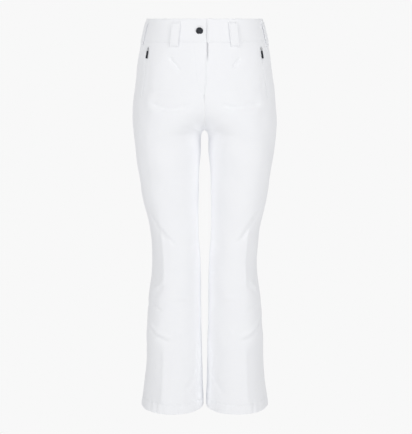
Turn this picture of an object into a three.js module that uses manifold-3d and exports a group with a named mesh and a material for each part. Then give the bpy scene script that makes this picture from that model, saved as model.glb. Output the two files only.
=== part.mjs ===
// Boot-cut ski pants held open as if worn. Millimetres, +Z up, front faces -Y.
// The wearer's left side is +X. The origin is the centre of the waist opening.
import * as THREE from 'three';
import Module from 'manifold-3d';
const wasm = await Module();
wasm.setup();

// ---- driving dimensions (mm) ----
const HEM_Z = -1030;          // outseam
const BAND_H = 57;            // waistband height
const FORK_TOP = -170;        // where the seat starts to split into two legs
const CROTCH_Z = -280;        // lowest point of the crotch seam
const SHELL_T = 1.8;          // shell fabric with its backing
const GAP = 0.2;              // half of the gap left at each seam
const P_EXP = 2.2;            // roundness of every section
const BUTTON_X = -12.5, BUTTON_Z = -29.3;
const FOLD_X0 = -40, FOLD_X1 = 2, FOLD_Z1 = -178;   // fold line of the fly flap
const FLAP_EDGE_X = 5.0, LEFT_EDGE_X = 6.0;
const FLY_END_Z = -168;
const POCKET_TOP_Z = -71, POCKET_LEN = 122, POCKET_PHI = 33 * Math.PI / 180;
const LINING = [-9.6, -10.6];
const BAG = [-6.9, -7.7];

// ---- section tables against height ----
const T_XOUT = [[0, 146.5], [-15, 150], [-30, 154], [-45, 157.5], [-57, 160.5], [-75, 165], [-103, 170.5], [-134, 175.3],
  [-165, 180.2], [-195, 183.4], [-226, 186.1], [-257, 188.4], [-273, 187.9], [-290, 186.6], [-320, 183], [-351, 180],
  [-383, 175.2], [-414, 169.7], [-446, 164.6], [-478, 158.2], [-510, 151.8], [-543, 146.7], [-575, 142.8], [-608, 140.2],
  [-624, 139.5], [-640, 139.9], [-673, 141.8], [-706, 146.2], [-740, 150.2], [-773, 152.7], [-807, 154.4], [-840, 157],
  [-874, 159], [-908, 160.6], [-942, 162.3], [-977, 166], [-1011, 170], [-1030, 171.5]];
const T_XIN = [[-280, 0], [-284, 4.2], [-288, 6.8], [-296, 8.8], [-304, 9.6], [-335, 9.6], [-351, 10.8], [-367, 12.5],
  [-398, 14.6], [-430, 15.3], [-478, 16.2], [-543, 16], [-575, 15.2], [-608, 12], [-640, 10.9], [-706, 9.3], [-773, 9],
  [-807, 9], [-840, 7.6], [-874, 6.5], [-942, 5.8], [-977, 5.0], [-1000, 3.6], [-1030, 3.4]];
const T_FRONT = [[0, 101], [-57, 108.6], [-193, 121.5], [-225, 119], [-255, 113], [-280, 107], [-320, 101], [-380, 92],
  [-440, 85], [-520, 77], [-600, 74], [-700, 75], [-800, 79], [-900, 83], [-1030, 86]];
const T_BACK = [[0, 107], [-57, 114], [-110, 126], [-165, 134], [-205, 134.5], [-245, 129], [-285, 120], [-330, 110],
  [-380, 100], [-440, 88], [-520, 74], [-600, 72], [-700, 82], [-800, 88], [-900, 90], [-1030, 90]];

function lerpTable(tab, z) {
  if (z >= tab[0][0]) return tab[0][1];
  for (let i = 1; i < tab.length; i++) {
    if (z >= tab[i][0]) {
      const [z0, a] = tab[i - 1], [z1, b] = tab[i];
      return a + (b - a) * (z - z0) / (z1 - z0);
    }
  }
  return tab[tab.length - 1][1];
}
const clamp = (x, a, b) => Math.min(b, Math.max(a, x));
const smooth = (e0, e1, x) => { const k = clamp((x - e0) / (e1 - e0), 0, 1); return k * k * (3 - 2 * k); };

// One half of the garment at height z: a superellipse whose centre moves out from the
// middle plane as the seat turns into a leg.
function section(z) {
  const xo = lerpTable(T_XOUT, z);
  let ratio;
  if (z >= CROTCH_Z) {
    const s = clamp((FORK_TOP - z) / (FORK_TOP - CROTCH_Z), 0, 1);
    ratio = Math.pow(s, 1.5);
  } else {
    const xi = lerpTable(T_XIN, z);
    ratio = (xo + xi) / (xo - xi);
  }
  const w = xo / (1 + ratio), xc = ratio * w;
  const big = ratio >= 1 ? Math.PI : Math.PI - Math.acos(Math.pow(ratio, P_EXP / 2));
  return { w, xc, F: lerpTable(T_FRONT, z), B: lerpTable(T_BACK, z), big };
}
const spow = (v, e) => Math.sign(v) * Math.pow(Math.abs(v), e);
// t: 0 front middle (inseam below the crotch), 0.5 side seam, 1 back middle.
function half(t, z, off) {
  const q = section(z);
  const phi = -q.big + 2 * q.big * t;
  const c = Math.cos(phi), s = Math.sin(phi);
  const X = spow(c, 2 / P_EXP), Y = spow(s, 2 / P_EXP), R = Y < 0 ? q.F : q.B;
  let x = q.xc + q.w * X, y = R * Y;
  let nx = spow(X, P_EXP - 1) / q.w, ny = spow(Y, P_EXP - 1) / R;
  const l = Math.hypot(nx, ny);
  nx /= l; ny /= l;
  x += 0.25 * smooth(-205, -250, z);
  return [x + nx * off, y + ny * off, z, nx, ny];
}
// a: -1..1 right round, 0 front middle, positive on the wearer's left.
function full(a, z, off) {
  while (a > 1) a -= 2;
  while (a < -1) a += 2;
  const p = half(Math.abs(a), z, off);
  return a < 0 ? [-p[0], p[1], p[2], -p[3], p[4]] : p;
}
function tOfX(X, z) {
  const q = section(z);
  const k = clamp(spow((X - q.xc) / q.w, P_EXP / 2), -1, 1);
  return (-Math.acos(k) + q.big) / (2 * q.big);
}
const aOfX = (X, z) => Math.sign(X) * tOfX(Math.abs(X), z);
function tOfPhi(phi, z) { const q = section(z); return (phi + q.big) / (2 * q.big); }
const foldX = z => FOLD_X0 + (FOLD_X1 - FOLD_X0) * z / FOLD_Z1;

// ---- mesh helpers ----
const group = new THREE.Group();
const FABRIC = { color: 0xe9ebf0, roughness: 0.85, metalness: 0 };
const LINER = { color: 0xd9dce2, roughness: 0.9, metalness: 0 };
const TRIM = { color: 0xdfe1e6, roughness: 0.9, metalness: 0 };
const METAL = { color: 0x34363b, roughness: 0.35, metalness: 0.9 };
const PLASTIC = { color: 0xd4d7dd, roughness: 0.5, metalness: 0 };

function add(name, pos, idx, look) {
  const g = new THREE.BufferGeometry();
  g.setAttribute('position', new THREE.BufferAttribute(new Float32Array(pos), 3));
  g.setIndex(idx);
  g.computeVertexNormals();
  const m = new THREE.Mesh(g, new THREE.MeshStandardMaterial(look));
  m.name = name;
  group.add(m);
}
// A closed sheet between two offsets of the garment's surface.
// at(k, z, off) gives the point; from(z)..to(z) is the run across; loop joins the ends.
function sheet({ at, rows, from, to, cols, outer, inner, loop = false, spread = null }) {
  const R = rows.length, C = loop ? cols : cols + 1;
  const pos = [], idx = [];
  const fo = typeof outer === 'function' ? outer : () => outer;
  const fi = typeof inner === 'function' ? inner : () => inner;
  for (const f of [fo, fi]) {
    for (const z of rows) {
      const a = from(z), b = to(z);
      for (let j = 0; j < C; j++) {
        let k = j / cols;
        if (spread) k = spread(k);
        const p = at(a + (b - a) * k, z, f(a + (b - a) * k, z));
        pos.push(p[0], p[1], p[2]);
      }
    }
  }
  const o = (i, j) => i * C + (loop ? j % C : j), n = (i, j) => R * C + o(i, j);
  const quad = (a, b, c, d) => idx.push(a, b, c, a, c, d);
  for (let i = 0; i < R - 1; i++) for (let j = 0; j < cols; j++) {
    quad(o(i, j), o(i + 1, j), o(i + 1, j + 1), o(i, j + 1));
    quad(n(i, j), n(i, j + 1), n(i + 1, j + 1), n(i + 1, j));
  }
  for (let j = 0; j < cols; j++) {
    quad(o(0, j), o(0, j + 1), n(0, j + 1), n(0, j));
    quad(o(R - 1, j), n(R - 1, j), n(R - 1, j + 1), o(R - 1, j + 1));
  }
  if (!loop) for (let i = 0; i < R - 1; i++) {
    quad(o(i, 0), n(i, 0), n(i + 1, 0), o(i + 1, 0));
    quad(o(i, cols), o(i + 1, cols), n(i + 1, cols), n(i, cols));
  }
  return fix({ pos, idx });
}
function volume(s) {
  let v = 0;
  const P = i => [s.pos[3 * i], s.pos[3 * i + 1], s.pos[3 * i + 2]];
  for (let k = 0; k < s.idx.length; k += 3) {
    const a = P(s.idx[k]), b = P(s.idx[k + 1]), c = P(s.idx[k + 2]);
    v += a[0] * (b[1] * c[2] - b[2] * c[1]) - a[1] * (b[0] * c[2] - b[2] * c[0]) + a[2] * (b[0] * c[1] - b[1] * c[0]);
  }
  return v / 6;
}
function fix(s) {
  if (volume(s) < 0) for (let k = 0; k < s.idx.length; k += 3) {
    const t = s.idx[k + 1]; s.idx[k + 1] = s.idx[k + 2]; s.idx[k + 2] = t;
  }
  return s;
}
const mirror = s => fix({ pos: s.pos.map((v, i) => (i % 3 === 0 ? -v : v)), idx: s.idx.slice() });
const solid = s => new wasm.Manifold(new wasm.Mesh({
  numProp: 3, vertProperties: new Float32Array(s.pos), triVerts: new Uint32Array(s.idx) }));
function soup(m) {
  const g = m.getMesh(), pos = [];
  for (let i = 0; i < g.vertProperties.length / g.numProp; i++)
    for (let k = 0; k < 3; k++) pos.push(g.vertProperties[i * g.numProp + k]);
  return { pos, idx: Array.from(g.triVerts) };
}
const put = (name, s, look) => add(name, s.pos, s.idx, look);

// A straight local frame: s runs down a zip, b across it, n out of the garment.
const V = (x, y, z) => new THREE.Vector3(x, y, z);
function frameAt(origin, down, out) {
  const s = down.clone().normalize();
  const n = out.clone().addScaledVector(s, -out.dot(s)).normalize();
  const b = new THREE.Vector3().crossVectors(n, s).normalize();
  return { o: origin.clone(), s, b, n };
}
const world = (f, s, b, n) => f.o.clone().addScaledVector(f.s, s).addScaledVector(f.b, b).addScaledVector(f.n, n);
function boxIn(f, s0, s1, b0, b1, n0, n1) {
  const pos = [];
  for (const s of [s0, s1]) for (const b of [b0, b1]) for (const n of [n0, n1]) pos.push(...world(f, s, b, n).toArray());
  const idx = [];
  const q = (a, b, c, d) => idx.push(a, b, c, a, c, d);
  q(0, 1, 3, 2); q(4, 6, 7, 5); q(0, 4, 5, 1); q(2, 3, 7, 6); q(0, 2, 6, 4); q(1, 5, 7, 3);
  return fix({ pos, idx });
}
// A turned piece round a chosen local axis; profile is a closed loop of [along, radius].
function turned(f, axis, cs, cb, cn, profile, seg = 18) {
  const ax = f[axis];
  const e1 = axis === 'n' ? f.s : f.n, e2 = new THREE.Vector3().crossVectors(ax, e1);
  const c = world(f, cs, cb, cn), pos = [], idx = [], M = profile.length;
  const base = [];
  for (let i = 0; i < M; i++) {
    const [h, r] = profile[i];
    base.push(pos.length / 3);
    const ring = r < 1e-6 ? 1 : seg;
    for (let k = 0; k < ring; k++) {
      const a = 2 * Math.PI * k / seg;
      const p = c.clone().addScaledVector(ax, h).addScaledVector(e1, r * Math.cos(a)).addScaledVector(e2, r * Math.sin(a));
      pos.push(p.x, p.y, p.z);
    }
  }
  const closed = profile.every(q => q[1] > 1e-6);
  for (let i = 0; i < (closed ? M : M - 1); i++) {
    const j = (i + 1) % M, ri = profile[i][1] > 1e-6, rj = profile[j][1] > 1e-6;
    for (let k = 0; k < seg; k++) {
      const k2 = (k + 1) % seg;
      if (ri && rj) { idx.push(base[i] + k, base[i] + k2, base[j] + k2, base[i] + k, base[j] + k2, base[j] + k); }
      else if (ri) idx.push(base[i] + k, base[i] + k2, base[j]);
      else if (rj) idx.push(base[i], base[j] + k2, base[j] + k);
    }
  }
  return fix({ pos, idx });
}
function join(...list) { return soup(list.map(solid).reduce((a, b) => a.add(b))); }
function cut(a, ...list) { return soup(list.map(solid).reduce((m, b) => m.subtract(b), solid(a))); }

// ---- rows down the leg ----
const BAND_ROWS = [-0.0, -15, -30, -45, -BAND_H + 0.2];
const SHELL_ROWS = [-BAND_H - 0.2, -80, -120, -169, -171, -196, -218, -240, -258, -270, -280, -288,
  -304, -335, -380, -430, -480, -520, -570, -620, -670, -730, -800, -880, -960, -1000, HEM_Z];
const LINING_ROWS = [-BAND_H - 3, -120, -188, -196, -218, -240, -262, -280, -304, -350, -430, -520, -620, -730, -860, -996];
const edge = 0.00042;
const cfStart = (z, X) => (z > CROTCH_Z + 6 ? Math.max(tOfX(X, z), edge) : edge);

// ---- pocket frames (wearer's left; the right one is its mirror image) ----
const pTop = half(tOfPhi(-POCKET_PHI, POCKET_TOP_Z), POCKET_TOP_Z, 0);
const pEndZ = POCKET_TOP_Z - POCKET_LEN;
const pEnd = half(tOfPhi(-POCKET_PHI, pEndZ), pEndZ, 0);
const pNorm = V(pTop[3] + pEnd[3], pTop[4] + pEnd[4], 0);
const PF = frameAt(V(pTop[0], pTop[1], pTop[2]), V(pEnd[0] - pTop[0], pEnd[1] - pTop[1], pEnd[2] - pTop[2]), pNorm);

// ---- shell ----
const flyStart = z => (z > -170 ? tOfX(LEFT_EDGE_X, z) : cfStart(z, 0.25));
const flyStartRight = z => (z > -170 ? (foldX(z) < -0.25 ? tOfX(-foldX(z) + GAP, z) : tOfX(0.25, z)) : cfStart(z, 0.25));
const panel = (from, to, cols) => sheet({ at: half, rows: SHELL_ROWS, from, to, cols, outer: 0, inner: -SHELL_T });
const slit = boxIn(PF, -4.5, POCKET_LEN + 4.5, -4.4, 4.4, -6, 9);
const frontL = cut(panel(flyStart, () => 0.5 - edge, 8), slit);
const frontR = mirror(cut(panel(flyStartRight, () => 0.5 - edge, 8), slit));
const backL = panel(() => 0.5 + edge, z => 1 - cfStart(z, 0.25), 8);
put('front_panel_left', frontL, FABRIC);
put('front_panel_right', frontR, FABRIC);
put('back_panel_left', backL, FABRIC);
put('back_panel_right', mirror(backL), FABRIC);

// ---- lining ----
const liner = (from, to) => sheet({ at: half, rows: LINING_ROWS, from, to, cols: 8, outer: LINING[0], inner: LINING[1] });
const linFL = liner(z => (z > -192 ? tOfX(33, z) : cfStart(z, 0.25)), () => 0.5 - edge);
const linFR = mirror(liner(z => (z > -192 ? tOfX(46, z) : cfStart(z, 0.25)), () => 0.5 - edge));
const linB = liner(() => 0.5 + edge, z => 1 - cfStart(z, 0.25));
put('lining_front_left', linFL, LINER);
put('lining_front_right', linFR, LINER);
put('lining_back_left', linB, LINER);
put('lining_back_right', mirror(linB), LINER);

// ---- waistband ----
const bp = full(aOfX(BUTTON_X, BUTTON_Z), BUTTON_Z, 0);
const bSlope = (lerpTable(T_FRONT, 0) - lerpTable(T_FRONT, -57)) / 57;
const BF = frameAt(V(bp[0], bp[1], bp[2]), V(0, bSlope, -1), V(bp[3], bp[4], 0));
const band = (from, to, cols, o, i, rows = BAND_ROWS) => sheet({ at: full, rows, from, to, cols, outer: o, inner: i });
put('waistband_front_left', band(z => aOfX(LEFT_EDGE_X, z), () => 0.5 - edge, 8, 0, -2.2), FABRIC);
put('waistband_front_right', band(z => aOfX(foldX(z) - GAP, z), () => -0.5 + edge, 7, 0, -2.2), FABRIC);
put('waistband_back', band(() => 0.5 + edge, () => 1.5 - edge, 16, 0, -2.2), FABRIC);
put('waistband_facing', band(z => aOfX(12, z), z => 2 + aOfX(-50, z), 30, -3.9, -4.9, [-1.5, -28, -BAND_H - 1]), LINER);
put('waistband_underlap', cut(band(z => aOfX(-32, z), z => aOfX(24, z), 8, -5.6, -7.4, [-1.5, -20, -38, -55]),
  turned(BF, 'n', 0, 0, 0, [[-12, 0], [-12, 1.6], [-3, 1.6], [-3, 0]], 16)), FABRIC);

// ---- press button through the tab ----
put('waistband_tab', cut(band(z => aOfX(foldX(z) + GAP, z), z => aOfX(FLAP_EDGE_X, z), 6, 0, -SHELL_T),
  turned(BF, 'n', 0, 0, 0, [[-4, 0], [-4, 2.4], [3, 2.4], [3, 0]], 16)), FABRIC);
put('snap_cap', turned(BF, 'n', 0, 0, 0, [[-2.3, 0], [-2.3, 2.0], [0.35, 2.0], [0.35, 7.6], [0.7, 8.5], [1.4, 8.7], [2.1, 8.3],
  [2.5, 7.2], [2.2, 6.6], [2.7, 5.4], [3.1, 3.2], [3.3, 0]]), METAL);
put('snap_socket', turned(BF, 'n', 0, 0, 0, [[-4.4, 2.3], [-4.4, 5.2], [-3.9, 5.5], [-2.9, 5.5], [-2.6, 4.8], [-2.6, 2.3]]), METAL);
put('snap_stud', turned(BF, 'n', 0, 0, 0, [[-5.3, 0], [-5.3, 5.0], [-4.7, 5.0], [-4.6, 1.7], [-3.6, 1.55], [-3.1, 1.8],
  [-2.75, 1.3], [-2.75, 0]]), METAL);
put('snap_post', turned(BF, 'n', 0, 0, 0, [[-8.6, 0], [-8.6, 4.6], [-8.0, 5.0], [-7.8, 5.0], [-7.8, 1.1], [-5.6, 1.1], [-5.6, 0]]), METAL);

// ---- fly ----
put('fly_placket', sheet({ at: full, rows: [-BAND_H - 0.2, -75, -103, -134, FLY_END_Z], from: z => aOfX(foldX(z) + GAP, z),
  to: z => aOfX(FLAP_EDGE_X, z), cols: 5, outer: 0, inner: -SHELL_T }), FABRIC);
put('fly_guard', sheet({ at: full, rows: [-BAND_H - 2, -103, -150, -187], from: z => aOfX(-24, z), to: z => aOfX(22, z),
  cols: 6, outer: -10.0, inner: -11.0 }), LINER);
const FLY_X = -4;
const fTop = full(aOfX(FLY_X, -66), -66, 0), fLow = full(aOfX(FLY_X, -168), -168, 0);
const FF = frameAt(V(fTop[0], fTop[1], fTop[2]), V(fLow[0] - fTop[0], fLow[1] - fTop[1], fLow[2] - fTop[2]), V(fTop[3], fTop[4], 0));
const FLY_RUN = 96;           // travel of the fly slider

// Zip parts in a frame: n0 is the middle of the coils' thickness.
function zipSet(f, n0, s0, s1, half2) {
  const bars = sg => boxIn(f, s0, s1, Math.min(sg * 0.75, sg * 2.3), Math.max(sg * 0.75, sg * 2.3), n0 - 0.6, n0 + 0.6);
  const tape = sg => boxIn(f, s0 - 3, s1 + 4, Math.min(sg * 2.55, sg * half2), Math.max(sg * 2.55, sg * half2), n0 - 0.3, n0 + 0.3);
  return { coilP: bars(1), coilM: bars(-1), tapeP: tape(1), tapeM: tape(-1),
    stop: boxIn(f, s1 + 0.4, s1 + 3.2, -2.2, 2.2, n0 - 0.9, n0 + 0.9) };
}
// Slider: front plate, thin web between the coils, back plate, and an arch for the pull.
function slider(f, n0, archN) {
  const front = [n0 + 0.9, n0 + 1.5], back = [n0 - 1.5, n0 - 0.9];
  return join(
    boxIn(f, -4.5, 4.5, -3.2, 3.2, front[0], front[1]),
    boxIn(f, -4.5, 4.5, -3.2, 3.2, back[0], back[1]),
    boxIn(f, -4.0, 0.5, -0.4, 0.4, back[1] - 0.2, front[0] + 0.2),
    boxIn(f, -3.4, -2.6, -0.8, 0.8, front[1] - 0.2, archN + 0.6),
    boxIn(f, 2.6, 3.4, -0.8, 0.8, front[1] - 0.2, archN + 0.6),
    boxIn(f, -3.4, 3.4, -0.8, 0.8, archN, archN + 0.6));
}
// Pull: a wire link through the arch, then a flat tab.
function pull(f, nAxis, linkLen, tabLen, tabHalf, tabT, wire) {
  return join(
    turned(f, 'b', 0, 0, nAxis, [[-2.5, 0], [-2.5, wire], [2.5, wire], [2.5, 0]], 12),
    boxIn(f, 0, linkLen + 1, -2.5, -1.7, nAxis - wire * 0.9, nAxis + wire * 0.9),
    boxIn(f, 0, linkLen + 1, 1.7, 2.5, nAxis - wire * 0.9, nAxis + wire * 0.9),
    boxIn(f, linkLen, linkLen + tabLen - 1.2, -tabHalf, tabHalf, nAxis - tabT / 2, nAxis + tabT / 2),
    boxIn(f, linkLen + tabLen - 1.4, linkLen + tabLen, -tabHalf + 1, tabHalf - 1, nAxis - tabT / 2 + 0.2, nAxis + tabT / 2 - 0.2));
}
const FLY_N = -7.0;
const fz = zipSet(FF, FLY_N, -2, FLY_RUN + 6, 8.5);
put('fly_zip_coil_left', FF.b.x > 0 ? fz.coilP : fz.coilM, PLASTIC);
put('fly_zip_coil_right', FF.b.x > 0 ? fz.coilM : fz.coilP, PLASTIC);
put('fly_zip_tape_left', FF.b.x > 0 ? fz.tapeP : fz.tapeM, TRIM);
put('fly_zip_tape_right', FF.b.x > 0 ? fz.tapeM : fz.tapeP, TRIM);
put('fly_zip_bottom_stop', fz.stop, METAL);
put('fly_zip_slider', slider(FF, FLY_N, FLY_N + 2.7), METAL);
put('fly_zip_pull', pull(FF, FLY_N + 2.1, 4.4, 8.5, 2.6, 0.8, 0.3), METAL);

// ---- pockets ----
const PZ_N = -3.8;
const pz = zipSet(PF, PZ_N, -2, POCKET_LEN + 0.5, 8.0);
const sides = [['left', s => s], ['right', mirror]];
const bag = sheet({ at: half, rows: [-62, -120, -169, -196, -218, -240, -262], from: z => tOfPhi(-1.02 + 0.18 * smooth(-180, -262, z), z),
  to: z => tOfPhi(-0.10 - 0.2 * smooth(-200, -262, z), z), cols: 7, outer: BAG[0], inner: BAG[1] });
for (const [side, f] of sides) {
  const fwd = PF.b.y < 0;     // which side of the zip faces the front
  put(`pocket_zip_tape_front_${side}`, f(fwd ? pz.tapeP : pz.tapeM), TRIM);
  put(`pocket_zip_tape_back_${side}`, f(fwd ? pz.tapeM : pz.tapeP), TRIM);
  put(`pocket_zip_coil_front_${side}`, f(fwd ? pz.coilP : pz.coilM), PLASTIC);
  put(`pocket_zip_coil_back_${side}`, f(fwd ? pz.coilM : pz.coilP), PLASTIC);
  put(`pocket_zip_stop_${side}`, f(pz.stop), METAL);
  put(`pocket_zip_slider_${side}`, f(slider(PF, PZ_N, PZ_N + 6.4)), METAL);
  put(`pocket_zip_pull_${side}`, f(pull(PF, PZ_N + 5.6, 8, 19, 3.0, 2.2, 0.42)), METAL);
  put(`pocket_bag_${side}`, f(bag), LINER);
}

// ---- belt loops ----
function beltLoop(phiMid, width, isFull) {
  // rows run down the loop; each row has its own stand-off so both ends turn in to the band
  const rows = [-8, -10, -13, -30, -48, -61, -64, -67];
  const off = { '-8': 0.35, '-10': 1.6, '-13': 3.1, '-30': 3.4, '-48': 3.4, '-61': 3.0, '-64': 1.5, '-67': 0.35 };
  const mid = z => (isFull ? phiMid : tOfPhi(phiMid, z));
  const span = z => { const a = half(Math.abs(mid(z)) + 0.004, z, 0), b = half(Math.abs(mid(z)) - 0.004, z, 0);
    return 0.008 * (width / 2) / Math.hypot(a[0] - b[0], a[1] - b[1]); };
  return sheet({ at: full, rows, from: z => mid(z) - span(z), to: z => mid(z) + span(z), cols: 3,
    outer: (k, z) => off[String(z)] + 1.6, inner: (k, z) => off[String(z)] });
}
const loopFront = beltLoop(-Math.acos(Math.pow(72.5 / 157, P_EXP / 2)), 22, false);
const loopSide = beltLoop(-0.25, 22, false);
put('belt_loop_front_left', loopFront, FABRIC);
put('belt_loop_front_right', mirror(loopFront), FABRIC);
put('belt_loop_side_left', loopSide, FABRIC);
put('belt_loop_side_right', mirror(loopSide), FABRIC);
put('belt_loop_back', beltLoop(0.99999, 22, true), FABRIC);

// ---- hems and gaiters ----
const ring = (rows, o, i, cols) => sheet({ at: half, rows, from: () => 0, to: () => 1, cols, outer: o, inner: i, loop: true });
const hem = ring([-1000, HEM_Z + 0.6], -2.4, -3.4, 16);
put('hem_facing_left', hem, TRIM);
put('hem_facing_right', mirror(hem), TRIM);
const gIn = z => -14 - 4 * smooth(-760, -860, z) + 2 * smooth(-960, -1008, z);
const gaiter = ring([-765, -800, -880, -960, -1012], (k, z) => gIn(z), (k, z) => gIn(z) - 1, 16);
put('gaiter_left', gaiter, LINER);
put('gaiter_right', mirror(gaiter), LINER);
const elastic = ring([-988, -1009], (k, z) => gIn(z) - 1.8, (k, z) => gIn(z) - 3.0, 16);
put('gaiter_elastic_left', elastic, TRIM);
put('gaiter_elastic_right', mirror(elastic), TRIM);

export default group;
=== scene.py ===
import math

import bpy
import bmesh
import numpy as np
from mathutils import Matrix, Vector


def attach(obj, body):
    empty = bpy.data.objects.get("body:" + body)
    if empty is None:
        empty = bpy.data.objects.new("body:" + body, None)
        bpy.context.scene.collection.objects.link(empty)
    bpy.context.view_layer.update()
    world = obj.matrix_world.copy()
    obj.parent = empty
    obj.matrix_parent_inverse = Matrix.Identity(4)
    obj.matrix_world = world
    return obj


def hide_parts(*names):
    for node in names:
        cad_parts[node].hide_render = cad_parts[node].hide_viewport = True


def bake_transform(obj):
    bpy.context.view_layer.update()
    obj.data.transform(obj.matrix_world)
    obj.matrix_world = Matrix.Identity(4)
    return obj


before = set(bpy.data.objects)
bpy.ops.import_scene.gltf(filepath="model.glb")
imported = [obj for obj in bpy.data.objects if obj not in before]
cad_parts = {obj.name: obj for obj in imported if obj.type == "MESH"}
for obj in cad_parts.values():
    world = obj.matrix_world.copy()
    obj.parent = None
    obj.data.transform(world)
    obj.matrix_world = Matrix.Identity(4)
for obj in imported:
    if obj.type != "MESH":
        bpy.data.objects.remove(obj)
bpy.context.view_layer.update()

rng = np.random.default_rng(7)

# ---------------------------------------------------------------- sections (mm)
P, CROTCH, FORK, HEM, BAND = 2.2, -280.0, -170.0, -1030.0, 57.0
T_XOUT = [[0, 146.5], [-15, 150], [-30, 154], [-45, 157.5], [-57, 160.5], [-75, 165], [-103, 170.5], [-134, 175.3], [-165, 180.2], [-195, 183.4], [-226, 186.1], [-257, 188.4], [-273, 187.9], [-290, 186.6], [-320, 183], [-351, 180], [-383, 175.2], [-414, 169.7], [-446, 164.6], [-478, 158.2], [-510, 151.8], [-543, 146.7], [-575, 142.8], [-608, 140.2], [-624, 139.5], [-640, 139.9], [-673, 141.8], [-706, 146.2], [-740, 150.2], [-773, 152.7], [-807, 154.4], [-840, 157], [-874, 159], [-908, 160.6], [-942, 162.3], [-977, 166], [-1011, 170], [-1030, 171.5]]
T_XIN = [[-280, 0], [-284, 4.2], [-288, 6.8], [-296, 8.8], [-304, 9.6], [-335, 9.6], [-351, 10.8], [-367, 12.5], [-398, 14.6], [-430, 15.3], [-478, 16.2], [-543, 16], [-575, 15.2], [-608, 12], [-640, 10.9], [-706, 9.3], [-773, 9], [-807, 9], [-840, 7.6], [-874, 6.5], [-942, 5.8], [-977, 5.0], [-1000, 3.6], [-1030, 3.4]]
T_FRONT = [[0, 101], [-57, 108.6], [-193, 121.5], [-225, 119], [-255, 113], [-280, 107], [-320, 101], [-380, 92], [-440, 85], [-520, 77], [-600, 74], [-700, 75], [-800, 79], [-900, 83], [-1030, 86]]
T_BACK = [[0, 107], [-57, 114], [-110, 126], [-165, 134], [-205, 134.5], [-245, 129], [-285, 120], [-330, 110], [-380, 100], [-440, 88], [-520, 74], [-600, 72], [-700, 82], [-800, 88], [-900, 90], [-1030, 90]]
ZT = np.arange(20.0, -1051.0, -1.0)


def raw(T):
    T = np.array(T, float)
    return lambda z: np.interp(-np.asarray(z, float), -T[:, 0], T[:, 1])


def table(T, sigma):
    T = np.array(T, float)
    z = -T[:, 0]
    v = np.interp(-ZT, z, T[:, 1])
    lo, hi = -ZT < z[0], -ZT > z[-1]
    v[lo] = T[0, 1] + (T[1, 1] - T[0, 1]) / (z[1] - z[0]) * (-ZT[lo] - z[0])
    v[hi] = T[-1, 1] + (T[-1, 1] - T[-2, 1]) / (z[-1] - z[-2]) * (-ZT[hi] - z[-1])
    n = int(4 * sigma)
    k = np.exp(-0.5 * (np.arange(-n, n + 1) / sigma) ** 2)
    p = np.concatenate([v[0] + (v[0] - v[1]) * np.arange(n, 0, -1), v, v[-1] + (v[-1] - v[-2]) * np.arange(1, n + 1)])
    return np.convolve(p, k / k.sum(), "valid")


XO, FR, BK, XI = table(T_XOUT, 9), table(T_FRONT, 14), table(T_BACK, 14), table(T_XIN, 1.2)
XI[ZT > CROTCH] = 0
_s = np.clip((FORK - ZT) / (FORK - CROTCH), 0, 1)
RA = np.where(ZT >= CROTCH, _s ** 1.5, (XO + XI) / (XO - XI))


def at(a, z):
    return np.interp(-np.asarray(z, float), -ZT, a)


def sm(a, b, x):
    k = np.clip((np.asarray(x, float) - a) / (b - a), 0, 1)
    return k * k * (3 - 2 * k)


def section(z):
    X, r = at(XO, z), at(RA, z)
    w = X / (1 + r)
    big = np.where(r >= 1, np.pi, np.pi - np.arccos(np.clip(r, 0, 1) ** (P / 2)))
    return w, r * w, at(FR, z), at(BK, z), big


def spow(v, e):
    return np.sign(v) * np.abs(v) ** e


def half(t, z):
    w, xc, F, B, big = section(z)
    phi = -big + 2 * big * t
    c, s = np.cos(phi), np.sin(phi)
    X, Y = spow(c, 2 / P), spow(s, 2 / P)
    R = np.where(Y < 0, F, B)
    nx, ny = spow(X, P - 1) / w, spow(Y, P - 1) / R
    q = np.hypot(nx, ny)
    return xc + w * X + 0.25 * sm(-274, -290, z), R * Y, nx / q, ny / q


# Length of cloth from the front middle, against height and t
ZG = np.arange(10.0, -1041.0, -2.0)
TG = np.linspace(0, 1, 801)
_x, _y, _, _ = half(TG[None, :], ZG[:, None])
ARC = np.concatenate([np.zeros((len(ZG), 1)), np.cumsum(np.hypot(np.diff(_x, axis=1), np.diff(_y, axis=1)), axis=1)], axis=1)


def _row(z):
    f = np.clip((ZG[0] - np.asarray(z, float)) / 2.0, 0, len(ZG) - 1.001)
    i = f.astype(int)
    return i, f - i


def arc(t, z):
    t, z = np.broadcast_arrays(np.asarray(t, float), np.asarray(z, float))
    i, f = _row(z)
    g = np.clip(t, 0, 1) * 800
    j = np.minimum(g.astype(int), 799)
    h = g - j
    return (1 - f) * ((1 - h) * ARC[i, j] + h * ARC[i, j + 1]) + f * ((1 - h) * ARC[i + 1, j] + h * ARC[i + 1, j + 1])


def t_of_arc(s, z):
    s, z = np.broadcast_arrays(np.asarray(s, float), np.asarray(z, float))
    i, f = _row(z)
    out = np.empty(s.shape)
    key = i.ravel() * 4096 + (f.ravel() * 4095).astype(int)
    order = np.argsort(key, kind="stable")
    ks = key[order]
    cuts = np.flatnonzero(np.diff(ks)) + 1
    sf, of = s.ravel(), out.ravel()
    for part in np.split(order, cuts):
        a, b = i.ravel()[part[0]], f.ravel()[part[0]]
        of[part] = np.interp(sf[part], (1 - b) * ARC[a] + b * ARC[a + 1], TG)
    return of.reshape(s.shape)


def total(z):
    return arc(1.0, z)


def t_of_x(X, z):
    w, xc, F, B, big = section(z)
    k = np.clip(spow((X - xc) / w, P / 2), -1, 1)
    return (-np.arccos(k) + big) / (2 * big)


def arc_of_x(X, z):
    return np.sign(X) * arc(t_of_x(abs(X), z), z)


def fold_x(z):
    return -40 + 42 * np.asarray(z, float) / -178


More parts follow.
